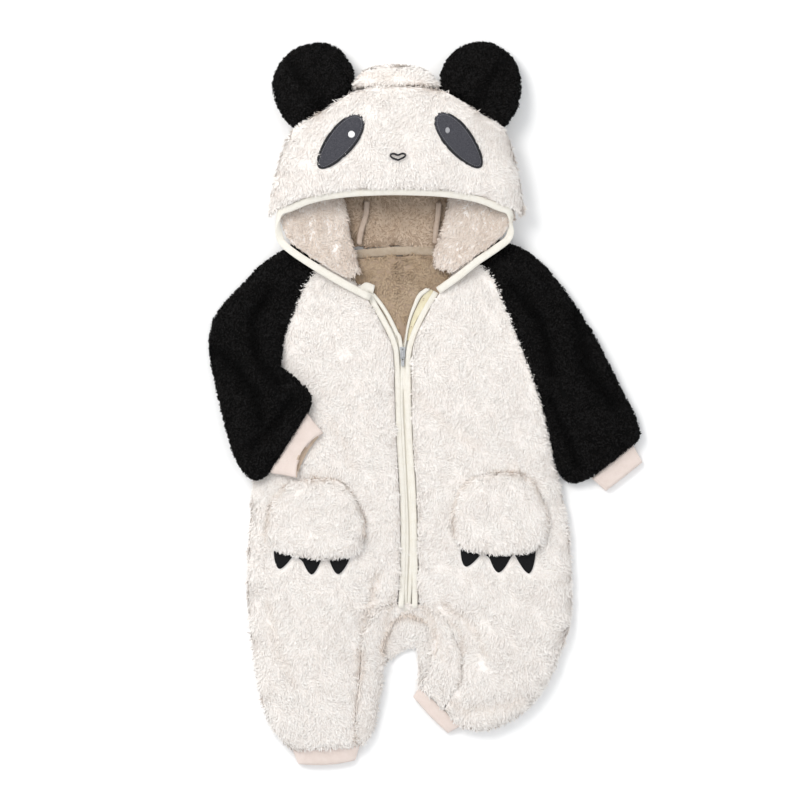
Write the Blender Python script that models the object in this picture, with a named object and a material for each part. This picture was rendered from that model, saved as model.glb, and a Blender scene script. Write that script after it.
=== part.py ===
"""Hooded plush romper for a baby, laid flat on its back.

Plan positions are millimetres in the part's frame: X to the right as seen from above, Y towards the
hood, Z up from the surface that it lies on. "Left" and "right" are as seen from above.
The plush is a thick wall: its ground cloth and the pile on both of its faces.
"""
import math

import bmesh
import bpy
import numpy as np
from mathutils import Matrix, Vector
from mathutils.bvhtree import BVHTree

MM = 0.001
SEAM_GAP = 0.3          # between pieces that are sewn together
REST_GAP = 0.5          # between a piece and what it lies on
BACK_TOP = 7.4          # upper face of the back panel
FRONT_LOW = 9.4         # lower face of the front panels
SEAM_Z = 8.4            # height of the side seams
EDGE_LIP = 1.6          # thickness of the plush where a seam pinches it
PLUSH = 5.0             # wall of the hood's plush
BIND_WIDE, BIND_THICK = 8.4, 3.4
BAND_WIDE, BAND_THICK = 6.4, 3.2
TAPE_THICK = 1.0
CUFF_WALL = 2.4
REST_SLOPE = 0.35       # steepest that a cuff follows what it lies on
EYE_THICK, CLAW_THICK = 1.2, 1.4

# Front panels, one row a section from the neck down to the cuff. side: side seam or raglan seam.
# zip: edge along the neck, the zip and the placket. back: inner edge of the back panel below.
# top: height of the upper face near the side, in the middle and near the zip. roll: 1 where the
# edge is a side seam that the cloth turns into, 0 where it is cut and sewn flat.
#              side_x side_y zip_x zip_y back_x back_y top_s top_m top_z roll_side roll_zip
LEFT_ROWS = [
    (-113, 156, -96, 147, -28, 163, 12.5, 12.5, 12.5, 0, 0),
    (-120, 146, -72, 125, -28, 150, 13.0, 13.5, 13.0, 0, 0),
    (-133, 132, -65, 116, -28, 131, 13.5, 14.5, 13.5, 0, 0),
    (-144, 107, -56, 99, -28, 107, 14.0, 16.5, 14.0, 0, 0),
    (-155, 81, -45, 79, -28, 81, 14.0, 18.0, 14.5, 0, 0),
    (-160, 59, -37, 57, -28, 59, 14.0, 19.0, 14.5, 0, 0),
    (-162, 41, -36, 41, -27, 36, 13.5, 19.5, 14.5, 0.6, 0),
    (-169, 10, -35, 10, -27, 7, 15.0, 20.0, 14.5, 1, 0),
    (-181, -29, -34, -29, -27, -29, 17.0, 20.5, 14.5, 1, 0),
    (-188, -64, -32, -64, -26, -64, 18.0, 21.0, 14.5, 1, 0),
    (-191, -97, -31, -97, -26, -97, 18.5, 21.0, 14.5, 1, 0),
    (-193, -138, -29.4, -138, -25, -138, 18.5, 21.0, 15.0, 1, 0),
    (-195, -177, -29.8, -177, -25, -177, 18.5, 21.0, 15.0, 1, 0),
    (-195, -205, -31.4, -207, -25, -200, 18.5, 21.5, 15.0, 1, 0),
    (-195, -225, -32, -217.5, -33, -217, 18.5, 21.5, 15.0, 1, 0),
    (-194, -240, -46, -219.5, -44, -221, 18.5, 21.5, 15.5, 1, 0),
    (-192, -260, -64, -238, -59, -238, 19.0, 22.0, 17.0, 1, 0),
    (-189, -278, -72, -263, -68, -261, 19.0, 23.0, 18.5, 1, 0),
    (-186, -297, -73, -286, -71, -286, 19.0, 23.0, 19.0, 1, 0),
    (-183, -316, -75, -310, -73, -310, 19.0, 22.5, 19.0, 1, 0),
    (-177, -336, -78, -332, -76, -332, 18.5, 21.5, 18.0, 1, 0),
    (-167, -359, -79, -352, -78, -352, 17.5, 19.5, 16.5, 1, 0),
    (-148, -379, -80, -374, -80, -374, 15.0, 15.5, 14.5, 0.7, 0),
]
RIGHT_ROWS = [
    (50, 161, 36, 150, -28, 163, 12.5, 12.5, 12.5, 0, 0),
    (58, 154, 20, 132, -28, 150, 13.0, 13.5, 13.0, 0, 0),
    (74, 138, 12, 118, -28, 131, 13.5, 14.5, 13.5, 0, 0),
    (85, 111, 1, 99, -28, 107, 14.0, 16.5, 14.0, 0, 0),
    (95, 86, -9, 79, -28, 81, 14.0, 18.0, 14.5, 0, 0),
    (105, 61, -16, 57, -28, 59, 14.5, 19.0, 14.5, 0, 0),
    (117, 29, -16, 31, -27, 36, 15.0, 20.0, 14.5, 0, 0),
    (125, 4, -16, 4, -27, 7, 15.0, 20.5, 14.5, 0.3, 0),
    (133, -29, -15, -29, -27, -29, 16.5, 21.0, 14.5, 1, 0),
    (139, -64, -13, -64, -26, -64, 17.5, 21.0, 14.5, 1, 0),
    (147, -95, -11, -95, -26, -97, 18.5, 21.0, 14.5, 1, 0),
    (155, -139, -9, -138, -25, -138, 18.5, 21.0, 15.0, 1, 0),
    (158, -177, -8, -177, -25, -177, 18.5, 21.5, 15.0, 1, 0),
    (158.5, -205, -8, -207, -25, -200, 18.5, 22.0, 15.5, 1, 0),
    (158, -226, -7, -217.5, -17, -217, 18.5, 22.0, 16.0, 1, 0),
    (156, -242, 5, -220, -6, -221, 19.0, 22.5, 18.0, 1, 0),
    (150, -263, 23, -238, 16, -238, 19.5, 23.5, 19.5, 1, 0),
    (141, -287, 34, -262, 28, -261, 20.0, 24.5, 21.0, 1, 0),
    (130, -310, 38, -282, 35, -282, 20.5, 25.0, 22.0, 1, 0),
    (112, -332, 38, -296, 36, -296, 20.0, 25.0, 22.0, 1, 0),
    (86, -350, 35, -308, 32, -308, 18.5, 23.0, 20.5, 1, 0),
    (61, -358, 28, -320, 26, -320, 16.5, 19.0, 17.5, 1, 0),
    (38, -352.5, 19.5, -335, 17.3, -333.5, 14.0, 15.0, 14.5, 0.7, 0),
]

# Sleeves, one row a section from the neck to the cuff. in: raglan seam and then the underarm.
# out: the other edge. low: height of the underside near in, in the middle and near out. loft: how
# far the upper face is above it. roll: 1 below the armpit, where the underarm seam closes the tube.
#              in_x in_y out_x out_y low_i low_m low_o loft_i loft_m loft_o roll
SLEEVE_LEFT_ROWS = [
    (-113, 156, -139, 180, 0, 0, 0, 12.5, 13, 13, 0),
    (-120, 146, -157, 169, 0, 0, 0, 13, 15, 15, 0),
    (-133, 132, -182, 151, 0, 0, 0, 14, 18, 17, 0),
    (-144, 107, -207, 125, 0, 0, 0, 15, 20, 19, 0),
    (-155, 81, -232, 96, 2, 0, 0, 15, 22, 20, 0),
    (-160, 59, -238, 74, 9, 3, 0, 15, 22, 20, 0.3),
    (-162, 41, -237, 52, 15.5, 7, 0, 14, 21, 20, 0.8),
    (-155, 36, -235, 35, 17.5, 10, 0, 15, 21, 20, 1),
    (-142, 26, -229, 13, 18.5, 15, 2, 17, 21, 20, 1),
    (-131, 14, -224, -9, 20, 18, 4, 17, 20, 20, 1),
    (-127.5, 4, -218, -33, 21.5, 19.5, 6, 16, 20, 20, 1),
    (-128, -1, -210, -59, 21.5, 20, 10, 15, 19, 20, 1),
    (-129.5, -4, -199, -76, 21.5, 20.5, 15, 15, 18, 18, 1),
    (-130.5, -6.5, -187, -84, 21.5, 21, 17, 14, 16, 16, 1),
    (-131.5, -8.5, -173, -75, 21.5, 21, 19, 13, 14, 13, 1),
]
SLEEVE_RIGHT_ROWS = [
    (50, 161, 74, 180, 0, 0, 0, 12.5, 13, 13, 0),
    (58, 154, 94, 175, 0, 0, 0, 13, 15, 15, 0),
    (74, 138, 117, 162, 0, 0, 0, 14, 17, 17, 0),
    (85, 111, 142, 136, 0, 0, 0, 15, 20, 19, 0),
    (95, 86, 159, 114, 0, 0, 0, 15, 21, 20, 0),
    (105, 61, 172, 94, 0, 0, 0, 15.5, 22, 20, 0),
    (117, 29, 189, 65, 0, 0, 0, 16, 22, 20, 0),
    (125, 4, 202, 40, 0, 0, 0, 16, 22, 20, 0.3),
    (133.6, -29, 214, 15, 0, 0, 0, 18, 22, 20, 1),
    (141, -62, 224, -4, 0, 0, 0, 18, 22, 20, 1),
    (149, -80, 232, -23, 0, 0, 0, 17, 21, 19, 1),
    (162, -86, 234, -34, 0, 0, 0, 15, 18, 17, 1),
    (180, -80, 227, -43, 0, 0, 0, 12.5, 14, 12.5, 1),
]

# Front placket along the inseam, from the left cuff over the crotch to the right cuff.
# seam: edge sewn to the front panels. edge: free edge. top: height of the upper face at each.
#              seam_x seam_y edge_x edge_y top_seam top_edge
PLACKET_FRONT_ROWS = [
    (-79, -373.5, -70, -373, 14.5, 12.0),
    (-77.5, -352, -60, -359, 16.5, 12.5),
    (-76.5, -332, -55.5, -335, 18.0, 13.0),
    (-73.5, -310, -51, -308, 19.0, 13.5),
    (-71.5, -286, -48.5, -286, 19.0, 13.5),
    (-70.5, -263, -48.5, -265, 18.5, 13.5),
    (-62.5, -239, -44.5, -249, 17.0, 13.5),
    (-45.5, -221, -36, -235, 15.5, 13.0),
    (-25, -218.8, -24, -230.5, 11.0, 11.5),
    (4.5, -221.5, 0, -236, 17.5, 14.0),
    (22, -239, 5, -253, 19.5, 16.0),
    (33, -262.5, 6, -270, 21.0, 18.0),
    (37, -282, 6, -285, 22.0, 19.0),
    (37, -295.5, 5, -293, 22.0, 19.0),
    (33.5, -307, 1, -299, 20.5, 17.0),
    (27, -319, -5, -303, 17.5, 14.0),
    (18.5, -334.3, -8, -309.8, 14.5, 12.0),
]
# Back placket under it, on the floor.
#              seam_x seam_y edge_x edge_y
PLACKET_BACK_ROWS = [
    (-78.5, -374, -69.5, -373.5),
    (-76.5, -352, -59.5, -360),
    (-74.5, -332, -54.5, -333.5),
    (-71.5, -310, -50, -307),
    (-69.5, -286, -47, -286),
    (-66.5, -261.5, -36, -277),
    (-57.5, -239, -28, -269),
    (-43, -222.5, -21, -266),
    (-25, -218, -17, -265.5),
    (-7, -222.5, -10, -266.5),
    (14.5, -239, -8.5, -274),
    (26.5, -261.5, -9, -283),
    (33.5, -282, -9.5, -288),
    (34.5, -295.5, -9.5, -295),
    (30.5, -307, -9.5, -299.5),
    (24.5, -319, -9, -304),
    (16.3, -332.6, -8.2, -309.9),
]

# Hood side panels, one row a section from the ear seam down to the neck. The cloth runs from its
# edge (binding or face panel) in to fold a, back out under itself to fold b and in again to the
# seam with the centre strip. fold: 1 where it lies folded in three, 0 where it is spread.
#              edge_x edge_y edge_z a_x a_y b_x b_y seam_x seam_y fold
HOOD_LEFT_ROWS = [
    (-95, 331, 22, -88, 331.5, -82, 332, -76, 332.5, 0),
    (-116, 317, 23, -100, 319, -84, 320, -69, 321, 0),
    (-139, 299, 24, -115, 300, -92, 301, -69, 303, 0),
    (-149, 282, 24.5, -110.5, 283, -123.4, 284, -69, 286, 0.65),
    (-159, 254, 24.5, -100.5, 256, -121, 257, -69, 260, 1),
    (-166, 222, 24.5, -94, 228, -130, 231, -69, 235, 1),
    (-160, 203, 24.5, -90, 209, -127, 212, -69, 218, 1),
    (-156, 188, 26, -87, 191, -122, 199, -69, 206, 1),
    (-147, 175, 29, -83, 176, -117, 189, -69, 197, 1),
    (-117, 155, 28, -79, 160, -111, 178, -69, 186, 1),
    (-88, 138, 23, -74, 146, -101, 167, -69, 175, 1),
]
HOOD_RIGHT_ROWS = [
    (31, 331, 22, 26, 331.5, 21, 332, 17, 332.5, 0),
    (59, 316, 23, 43, 318, 27, 320, 15, 321, 0),
    (81, 300, 24, 58, 301, 36, 302, 15, 303, 0),
    (85, 282, 24.5, 61, 283, 38, 285, 14, 286, 0),
    (93, 250, 24.5, 37, 256, 63, 257, 14, 260, 1),
    (100, 222, 24.5, 29, 228, 64, 231, 14, 235, 1),
    (93, 203, 24.5, 24, 209, 61, 212, 14, 218, 1),
    (87, 189, 26, 19, 191, 57, 199, 14, 206, 1),
    (74, 177, 29, 14, 177, 51, 189, 14, 197, 1),
    (49, 160, 28, 11, 162, 44, 180, 14, 186, 1),
    (32, 146, 23, 11, 152, 36, 170, 14, 175.5, 1),
]
LAYER_LOW, LAYER_MID, LAYER_HIGH = 2.1, 10.2, 17.8  # middles of the folded hood's three layers
FOLD_TUCK = 3.6                                      # radius of a fold
SIDE_WALL = 4.0
# Ends of the hood binding at the neck, beyond the side panels.
BINDING_ENDS = [(-61.5, 117, 17.5), (12.5, 124.5, 17.5)]

# Face panel of the hood: how far a line across it drops towards the sides, as a share of half its
# width, at the ear seam and at the lip.
#              across seam_drop lip_drop
FACE_DROPS = [
    (0.00, 0, 0),
    (0.25, 1, 0.8),
    (0.47, 5, 3),
    (0.67, 21, 8),
    (0.85, 33, 17),
    (0.95, 40, 23),
    (1.00, 45, 29),
]
# Face panel from the ear seam to the lip: middle line, half width and height of its middle.
#              middle_y left_x right_x middle_z
FACE_ROWS = [
    (344.5, -139, 81, 46),
    (337, -147, 86, 52),
    (316, -155, 91, 57),
    (290, -162, 97, 59),
    (265, -167, 101, 58),
    (246, -170.5, 103, 55),
    (236.5, -171.5, 103.5, 51),
]
FACE_EDGE_Z = 27.5

# Bands over the zip's edges, from the neck down.
BAND_LEFT_PATH = [
    (-62.5, 118.5), (-52.5, 100.8), (-41.4, 80.5), (-35.6, 66), (-32.8, 50), (-31.6, 4), (-30, -40),
    (-27.2, -84), (-25.6, -128), (-25.8, -172), (-27.3, -205), (-28.2, -224),
]
BAND_RIGHT_PATH = [
    (10.5, 123), (-2.6, 101), (-12.6, 80.5), (-17.5, 66), (-20.2, 50), (-20.0, 4),
    (-18.6, -40), (-15.5, -84), (-13.8, -128), (-12.8, -172), (-12.6, -205), (-13.2, -224),
]
# Middle of the closed zip, and the two free edges of its tape above the slider.
#              y left_edge left_inner right_inner right_edge
TAPE_ROWS = [
    (117, -70, -60, 8, 18),
    (99, -58, -47.5, -8, 3),
    (80, -48, -36.5, -15, -5),
    (66, -41, -29.5, -23.2, -14),
    (58, -38, -26.4, -26.4, -14.5),
    (44, -37, -26.4, -26.4, -15),
    (4, -36, -25.8, -25.8, -15),
    (-60, -33, -22.6, -22.6, -12),
    (-128, -30, -19.7, -19.7, -9),
    (-190, -30, -20.0, -20.0, -9),
    (-215, -29, -20.4, -20.4, -10),
]
TAPE_Z = 8.4

# Slider and pull tab.
SLIDER_X, SLIDER_LOW_Y, SLIDER_HIGH_Y = -26.3, 49.5, 62.5
SLIDER_BASE, SLIDER_TOP = 9.5, 12.4
CROWN_HALF, CROWN_TOP, CROWN_WINDOW = 0.85, 16.0, 14.8
PIVOT = (SLIDER_X, 52.9, 13.65)

# Pockets as paws, and ears: outlines as points round them, anticlockwise from the right.
POCKET_LEFT = [(-66, -138), (-73, -115), (-86, -92), (-103, -82.5), (-142, -82.5), (-158, -92),
               (-170, -108), (-175, -128), (-174, -148), (-163, -160), (-140, -167), (-116, -169),
               (-88, -167), (-71, -158)]
POCKET_RIGHT = [(133, -130), (129, -108), (117, -86), (104, -76), (71, -75.5), (52, -81), (40, -90),
                (30, -108), (28, -130), (33, -150), (48, -161), (72, -164), (104, -163), (126, -156)]
EAR_LEFT = [(-80, 352), (-84, 371), (-96, 388), (-113, 395), (-138, 392), (-157, 378), (-168, 355),
            (-165, 333), (-156, 314), (-142, 302), (-126, 313.5), (-106, 325), (-90, 337)]
EAR_RIGHT = [(103, 350), (98, 373), (83, 390), (58, 397), (33, 388), (19, 370), (15, 349),
             (18, 337), (30, 336), (52, 323), (72, 311), (82.5, 303.3), (92.5, 314), (100, 330)]
EAR_HALF_THICK = 11.0

# Claws: middle of each root along the pocket's lower edge, and each tip.
#              root_x root_y half_width tip_x tip_y
CLAWS_LEFT = [(-157, -165, 10.5, -161, -181), (-126, -169, 10.5, -126, -187),
              (-95.5, -168, 11.5, -97, -187)]
CLAWS_RIGHT = [(49, -162, 11.5, 43.5, -178.5), (80.5, -165.5, 12, 79, -185),
               (108, -163, 11.5, 112, -186)]

# Eye patches on the face panel: middle, half length, half width, tilt from the Y axis in degrees.
EYE_LEFT = (-94.5, 285.5, 36, 14.5, -39)
EYE_RIGHT = (35.5, 287, 37, 14.5, 39)

# Cuffs: corners of the sewn edge and of the free edge, heights of the underside and of the upper
# face at each edge, and how far the free edge of the upper and lower layer is drawn back.
CUFFS = {
    "sleeve_cuff_left": dict(sewn=((-131.3, -9.3), (-172.6, -75.4)), free=((-113, -31), (-142.5, -81)),
                             sewn_z=(24, 31.5), free_z=(22, 29.5), draw_back=(10, 4), lift=1.0),
    "sleeve_cuff_right": dict(sewn=((181, -81.5), (226.5, -44.5)), free=((197, -96), (238, -64)),
                              sewn_z=(2.8, 10.4), free_z=(0, 7.4), draw_back=(0.5, 0), lift=0),
    "leg_cuff_left": dict(sewn=((-147.5, -379.7), (-73, -374.3)), free=((-141, -395.5), (-78, -391.5)),
                          sewn_z=(4.5, 12), free_z=(0, 7.5), draw_back=(-3, -3), lift=0),
    "leg_cuff_right": dict(sewn=((-8.3, -310.5), (37.8, -353.3)), free=((-15, -322), (23.7, -362)),
                           sewn_z=(4.5, 12), free_z=(0, 7.5), draw_back=(-1, -1), lift=0),
}

# Main folds of the laid garment: a trough from one point to the other on the upper faces.
#              from_x from_y to_x to_y half_width depth
FOLDS = [
    (-55, -193, -68, -240, 7, 4.5),
    (-68, -240, -72, -300, 5, 2.0),
    (14, -221, 50, -240, 7, 3.5),
    (50, -240, 64, -272, 7, 4.0),
    (40, -268, 38, -312, 6, 4.0),
    (44, -338, 80, -328, 7, 3.0),
    (-225, 84, -172, 48, 9, 5.0),
    (-205, 60, -165, 38, 6, 3.0),
    (-190, 110, -168, 70, 8, 3.0),
    (128, 82, 150, 20, 9, 4.0),
    (165, 60, 180, -20, 9, 3.0),
    (-150, -230, -110, -300, 12, 1.5),
    (60, -20, 110, -60, 12, 1.2),
    (-20, 330, -60, 326, 8, 1.5),
]

COLOURS = {
    "white_plush": ((0.90, 0.86, 0.82, 1), 0.95, 0.0),
    "black_plush": ((0.012, 0.012, 0.012, 1), 0.95, 0.0),
    "cream_binding": ((0.86, 0.82, 0.70, 1), 0.85, 0.0),
    "peach_jersey": ((0.86, 0.72, 0.62, 1), 0.85, 0.0),
    "slate_felt": ((0.075, 0.075, 0.095, 1), 0.9, 0.0),
    "black_felt": ((0.015, 0.015, 0.017, 1), 0.9, 0.0),
    "zip_metal": ((0.60, 0.61, 0.62, 1), 0.3, 1.0),
}


def clear_scene():
    for obj in list(bpy.data.objects):
        bpy.data.objects.remove(obj, do_unlink=True)


def material(name, finish):
    """Each piece has its own Principled material, in one of the garment's finishes."""
    colour, roughness, metallic = COLOURS[finish]
    mat = bpy.data.materials.new(name)
    mat.use_nodes = True
    shader = mat.node_tree.nodes["Principled BSDF"]
    shader.inputs["Base Color"].default_value = colour
    shader.inputs["Roughness"].default_value = roughness
    shader.inputs["Metallic"].default_value = metallic
    return mat


def add_object(name, points, faces, finish):
    mesh = bpy.data.meshes.new(name)
    mesh.from_pydata([tuple(p) for p in np.asarray(points) * MM], [], faces)
    mesh.validate()
    work = bmesh.new()
    work.from_mesh(mesh)
    bmesh.ops.recalc_face_normals(work, faces=work.faces)
    work.to_mesh(mesh)
    work.free()
    mesh.shade_smooth()
    mesh.set_sharp_from_angle(angle=math.radians(50))
    mesh.materials.append(material(name, finish))
    obj = bpy.data.objects.new(name, mesh)
    bpy.context.scene.collection.objects.link(obj)
    return obj


def refine(rows, per):
    """Smooth curves through the rows of a table that never overshoot them, per steps a row."""
    rows = np.asarray(rows, float)
    step = np.diff(rows, axis=0)
    slope = np.zeros_like(rows)
    slope[0], slope[-1] = step[0], step[-1]
    same_way = step[:-1] * step[1:] > 0
    total = np.where(same_way, step[:-1] + step[1:], 1)
    slope[1:-1] = np.where(same_way, 2 * step[:-1] * step[1:] / total, 0)
    out = []
    for k in range(len(step)):
        for t in np.arange(per) / per:
            a, b = 2 * t ** 3 - 3 * t ** 2 + 1, t ** 3 - 2 * t ** 2 + t
            c, d = -2 * t ** 3 + 3 * t ** 2, t ** 3 - t ** 2
            out.append(a * rows[k] + b * slope[k] + c * rows[k + 1] + d * slope[k + 1])
    out.append(rows[-1])
    return np.array(out)


def round_path(points, count, closed=False):
    """Catmull-Rom curve through points, sampled evenly between them."""
    p = np.asarray(points, float)
    if closed:
        p = np.vstack([p[-1:], p, p[:2]])
    else:
        p = np.vstack([2 * p[0] - p[1], p, 2 * p[-1] - p[-2]])
    spans = len(p) - 3
    at = np.linspace(0, spans, count, endpoint=not closed)
    out = []
    for value in at:
        k = min(int(value), spans - 1)
        t = value - k
        a, b, c, d = p[k:k + 4]
        out.append(0.5 * (2 * b + (c - a) * t + (2 * a - 5 * b + 4 * c - d) * t ** 2
                          + (3 * b - a - 3 * c + d) * t ** 3))
    return np.array(out)


def quarter(distance, width):
    """0 at an edge, rising as a quarter of an ellipse to 1 at the given distance from it."""
    share = np.clip(np.asarray(distance, float) / width, 0, 1)
    return np.sqrt(1 - (1 - share) ** 2)


def grid_quads(rows, columns, closed=False):
    last = columns if closed else columns - 1
    quads = []
    for r in range(rows - 1):
        for c in range(last):
            d = (c + 1) % columns
            quads.append((r * columns + c, r * columns + d, (r + 1) * columns + d, (r + 1) * columns + c))
    return quads


def shell(name, outer, inner, quads, finish):
    """Closed wall between an outer and an inner set of points that share their faces. Points of
    one place are merged, so that two grids may share an edge."""
    outer, inner = np.asarray(outer, float), np.asarray(inner, float)
    keys, place, keep = {}, [], []
    for k in range(len(outer)):
        key = tuple(np.round(np.concatenate([outer[k], inner[k]]), 3))
        if key not in keys:
            keys[key] = len(keep)
            keep.append(k)
        place.append(keys[key])
    outer, inner = outer[keep], inner[keep]
    count = len(keep)
    faces, sides = [], {}
    for quad in quads:
        loop = []
        for k in quad:
            if not loop or place[k] != loop[-1]:
                loop.append(place[k])
        if loop[0] == loop[-1]:
            loop.pop()
        if len(loop) < 3:
            continue
        faces.append(tuple(loop))
        faces.append(tuple(count + k for k in reversed(loop)))
        for a, b in zip(loop, loop[1:] + loop[:1]):
            sides.setdefault((min(a, b), max(a, b)), []).append((a, b))
    for edges in sides.values():
        if len(edges) == 1:
            a, b = edges[0]
            faces.append((b, a, count + a, count + b))
    return add_object(name, np.vstack([outer, inner]), faces, finish)


def thicken(points, columns, wall):
    """Outer and inner points of a wall either side of a grid of middle points."""
    grid = points.reshape(-1, columns, 3)
    along = np.gradient(grid, axis=0)
    across = np.gradient(grid, axis=1)
    normal = np.cross(across, along)
    normal /= np.maximum(np.linalg.norm(normal, axis=2, keepdims=True), 1e-9)
    normal = normal.reshape(-1, 3)
    return points + normal * wall / 2, points - normal * wall / 2


def fold_depth(x, y):
    """How far the main folds take an upper face down at a place."""
    total = 0.0
    for ax, ay, bx, by, half, depth in FOLDS:
        dx, dy = bx - ax, by - ay
        length = math.hypot(dx, dy)
        along = ((x - ax) * dx + (y - ay) * dy) / length
        off = ((x - ax) * dy - (y - ay) * dx) / length
        past = max(0.0, -along, along - length)
        total += depth * math.exp(-(off / half) ** 2 - (past / (1.5 * half)) ** 2)
    return total


class Under:
    """What lies below a piece: gives the highest face under a place, or a default height."""

    def __init__(self, *objects):
        self.trees = []
        for obj in objects:
            mesh = obj.data
            self.trees.append(BVHTree.FromPolygons([v.co / MM for v in mesh.vertices],
                                                   [p.vertices for p in mesh.polygons]))

    def height(self, x, y, default=0.0, reach=0.0):
        best = default
        places = [(x, y)]
        if reach:
            places += [(x + reach * math.cos(a), y + reach * math.sin(a))
                       for a in np.linspace(0, 2 * math.pi, 6, endpoint=False)]
        for px, py in places:
            for tree in self.trees:
                hit = tree.ray_cast(Vector((px, py, 200)), Vector((0, 0, -1)))
                if hit[0] is not None:
                    best = max(best, hit[0].z)
        return best


def spread(count, low=0.0, high=1.0):
    """Shares from low to high, closer together at both ends."""
    k = np.arange(count) / (count - 1)
    return low + (high - low) * 0.5 * (1 - np.cos(math.pi * k))


def front_panel(name, rows, steps=2, columns=8):
    table = refine(rows, steps)
    shares = spread(columns)
    outer, inner = [], []
    for sx, sy, zx, zy, _, _, top_s, top_m, top_z, roll_s, roll_z in table:
        side, zip_edge = np.array((sx, sy)), np.array((zx, zy))
        inward = (zip_edge - side) / np.linalg.norm(zip_edge - side)
        side = side + inward * SEAM_GAP / 2
        zip_edge = zip_edge - inward * SEAM_GAP
        width = np.linalg.norm(zip_edge - side)
        tops = np.interp(shares, (0, 0.2, 0.5, 0.8, 1), (top_s, (top_s + top_m) / 2, top_m,
                                                         (top_m + top_z) / 2, top_z))
        inside = 1 - roll_s * (1 - quarter(shares * width, 16))
        for share, top, q in zip(shares, tops, inside):
            x, y = side + (zip_edge - side) * share
            low = FRONT_LOW - (FRONT_LOW - SEAM_Z - SEAM_GAP / 2) * (1 - q)
            full = SEAM_Z + EDGE_LIP + (top - SEAM_Z - EDGE_LIP) * q
            high = max(full - fold_depth(x, y) * q, low + EDGE_LIP)
            outer.append((x, y, high))
            inner.append((x, y, low))
    return shell(name, outer, inner, grid_quads(len(table), columns), "white_plush")


def back_panel(steps=2, columns=5):
    outer, inner, quads = [], [], []
    shares = spread(columns)
    torso_rows = 14
    for rows in (LEFT_ROWS, RIGHT_ROWS):
        table = refine(rows, steps)
        first = len(outer)
        for k, (sx, sy, _, _, bx, by, _, _, _, roll_s, _) in enumerate(table):
            side, middle = np.array((sx, sy)), np.array((bx, by))
            inward = (middle - side) / np.linalg.norm(middle - side)
            side = side + inward * SEAM_GAP / 2
            if k > (torso_rows - 1) * steps:
                middle = middle - inward * SEAM_GAP
            width = np.linalg.norm(middle - side)
            inside = 1 - roll_s * (1 - quarter(shares * width, 10))
            for share, q in zip(shares, inside):
                x, y = side + (middle - side) * share
                outer.append((x, y, BACK_TOP + (SEAM_Z - SEAM_GAP / 2 - BACK_TOP) * (1 - q)))
                inner.append((x, y, (SEAM_Z - EDGE_LIP) * (1 - q)))
        quads += [tuple(first + k for k in quad) for quad in grid_quads(len(table), columns)]
    return shell("back", outer, inner, quads, "white_plush")


def sleeve(name, rows, under=None, first_over=None, steps=2, columns=7):
    """Tube of one piece, folded at its outer edge. Its cut edges meet at the raglan and underarm."""
    table = refine(rows, steps)
    shares = spread(columns)
    outer, inner = [], []
    for k, row in enumerate(table):
        ix, iy, ox, oy, low_i, low_m, low_o, loft_i, loft_m, loft_o, roll = row
        near, far = np.array((ix, iy)), np.array((ox, oy))
        outward = (far - near) / np.linalg.norm(far - near)
        near = near + outward * SEAM_GAP / 2
        width = np.linalg.norm(far - near)
        lows = np.interp(shares, (0, 0.2, 0.5, 0.8, 1), (low_i, low_i, low_m, low_o, low_o))
        lofts = np.interp(shares, (0, 0.2, 0.5, 0.8, 1), (loft_i, (loft_i + loft_m) / 2, loft_m,
                                                          loft_o, loft_o))
        plan = near + np.outer(shares, far - near)
        if under is not None and k >= first_over * steps:
            for c, (x, y) in enumerate(plan):
                lows[c] = max(lows[c], under.height(x, y, 0.0, 6.0) + REST_GAP)
        middle = lows + 0.5 * lofts
        inside = (1 - roll * (1 - quarter(shares * width, 12))) * quarter((1 - shares) * width, 14)
        high = middle + (0.5 * lofts) * inside
        low = middle - (0.5 * lofts) * inside
        lip = EDGE_LIP * (shares < 0.5) * (1 - inside)
        slack = 1.4 * inside + SEAM_GAP / 2
        wall_side = near + np.outer(shares * (1 - 5.0 / width), far - near)
        top, bottom, top_in, bottom_in = [], [], [], []
        for c in range(columns):
            x, y = plan[c]
            dip = fold_depth(x, y) * inside[c]
            room = high[c] + lip[c] - (middle[c] + slack[c]) - 2.0
            top.append((x, y, high[c] + lip[c] - max(0, min(dip, room))))
            bottom.append((x, y, low[c] - lip[c]))
            hold = slack[c] if c < columns - 1 else 0
            top_in.append((*wall_side[c], middle[c] + hold))
            bottom_in.append((*wall_side[c], middle[c] - hold))
        outer += top + bottom[-2::-1]
        inner += top_in + bottom_in[-2::-1]
    count = 2 * columns - 1
    return shell(name, outer, inner, grid_quads(len(table), count), "black_plush")


def placket_front(columns=3, steps=2):
    table = refine(PLACKET_FRONT_ROWS, steps)
    outer, inner = [], []
    for sx, sy, ex, ey, top_seam, top_edge in table:
        seam, edge = np.array((sx, sy)), np.array((ex, ey))
        width = np.linalg.norm(edge - seam)
        for share in spread(columns):
            x, y = seam + (edge - seam) * share
            q = quarter((1 - share) * width, 7)
            top = top_seam + (top_edge - top_seam) * share
            low = BACK_TOP + 0.8 + min(top_seam - 14, 6) * 0.5 * (top_seam > 14)
            outer.append((x, y, low + EDGE_LIP + (top - low - EDGE_LIP) * q))
            inner.append((x, y, low))
    return shell("placket_front", outer, inner, grid_quads(len(table), columns), "white_plush")


def placket_back(columns=3, steps=2):
    table = refine(PLACKET_BACK_ROWS, steps)
    outer, inner = [], []
    for sx, sy, ex, ey in table:
        seam, edge = np.array((sx, sy)), np.array((ex, ey))
        width = np.linalg.norm(edge - seam)
        for share in spread(columns):
            x, y = seam + (edge - seam) * share
            q = quarter((1 - share) * width, 5)
            outer.append((x, y, 4.2 + (BACK_TOP - 4.2) * q))
            inner.append((x, y, 2.0 * (1 - q)))
    return shell("placket_back", outer, inner, grid_quads(len(table), columns), "white_plush")


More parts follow.
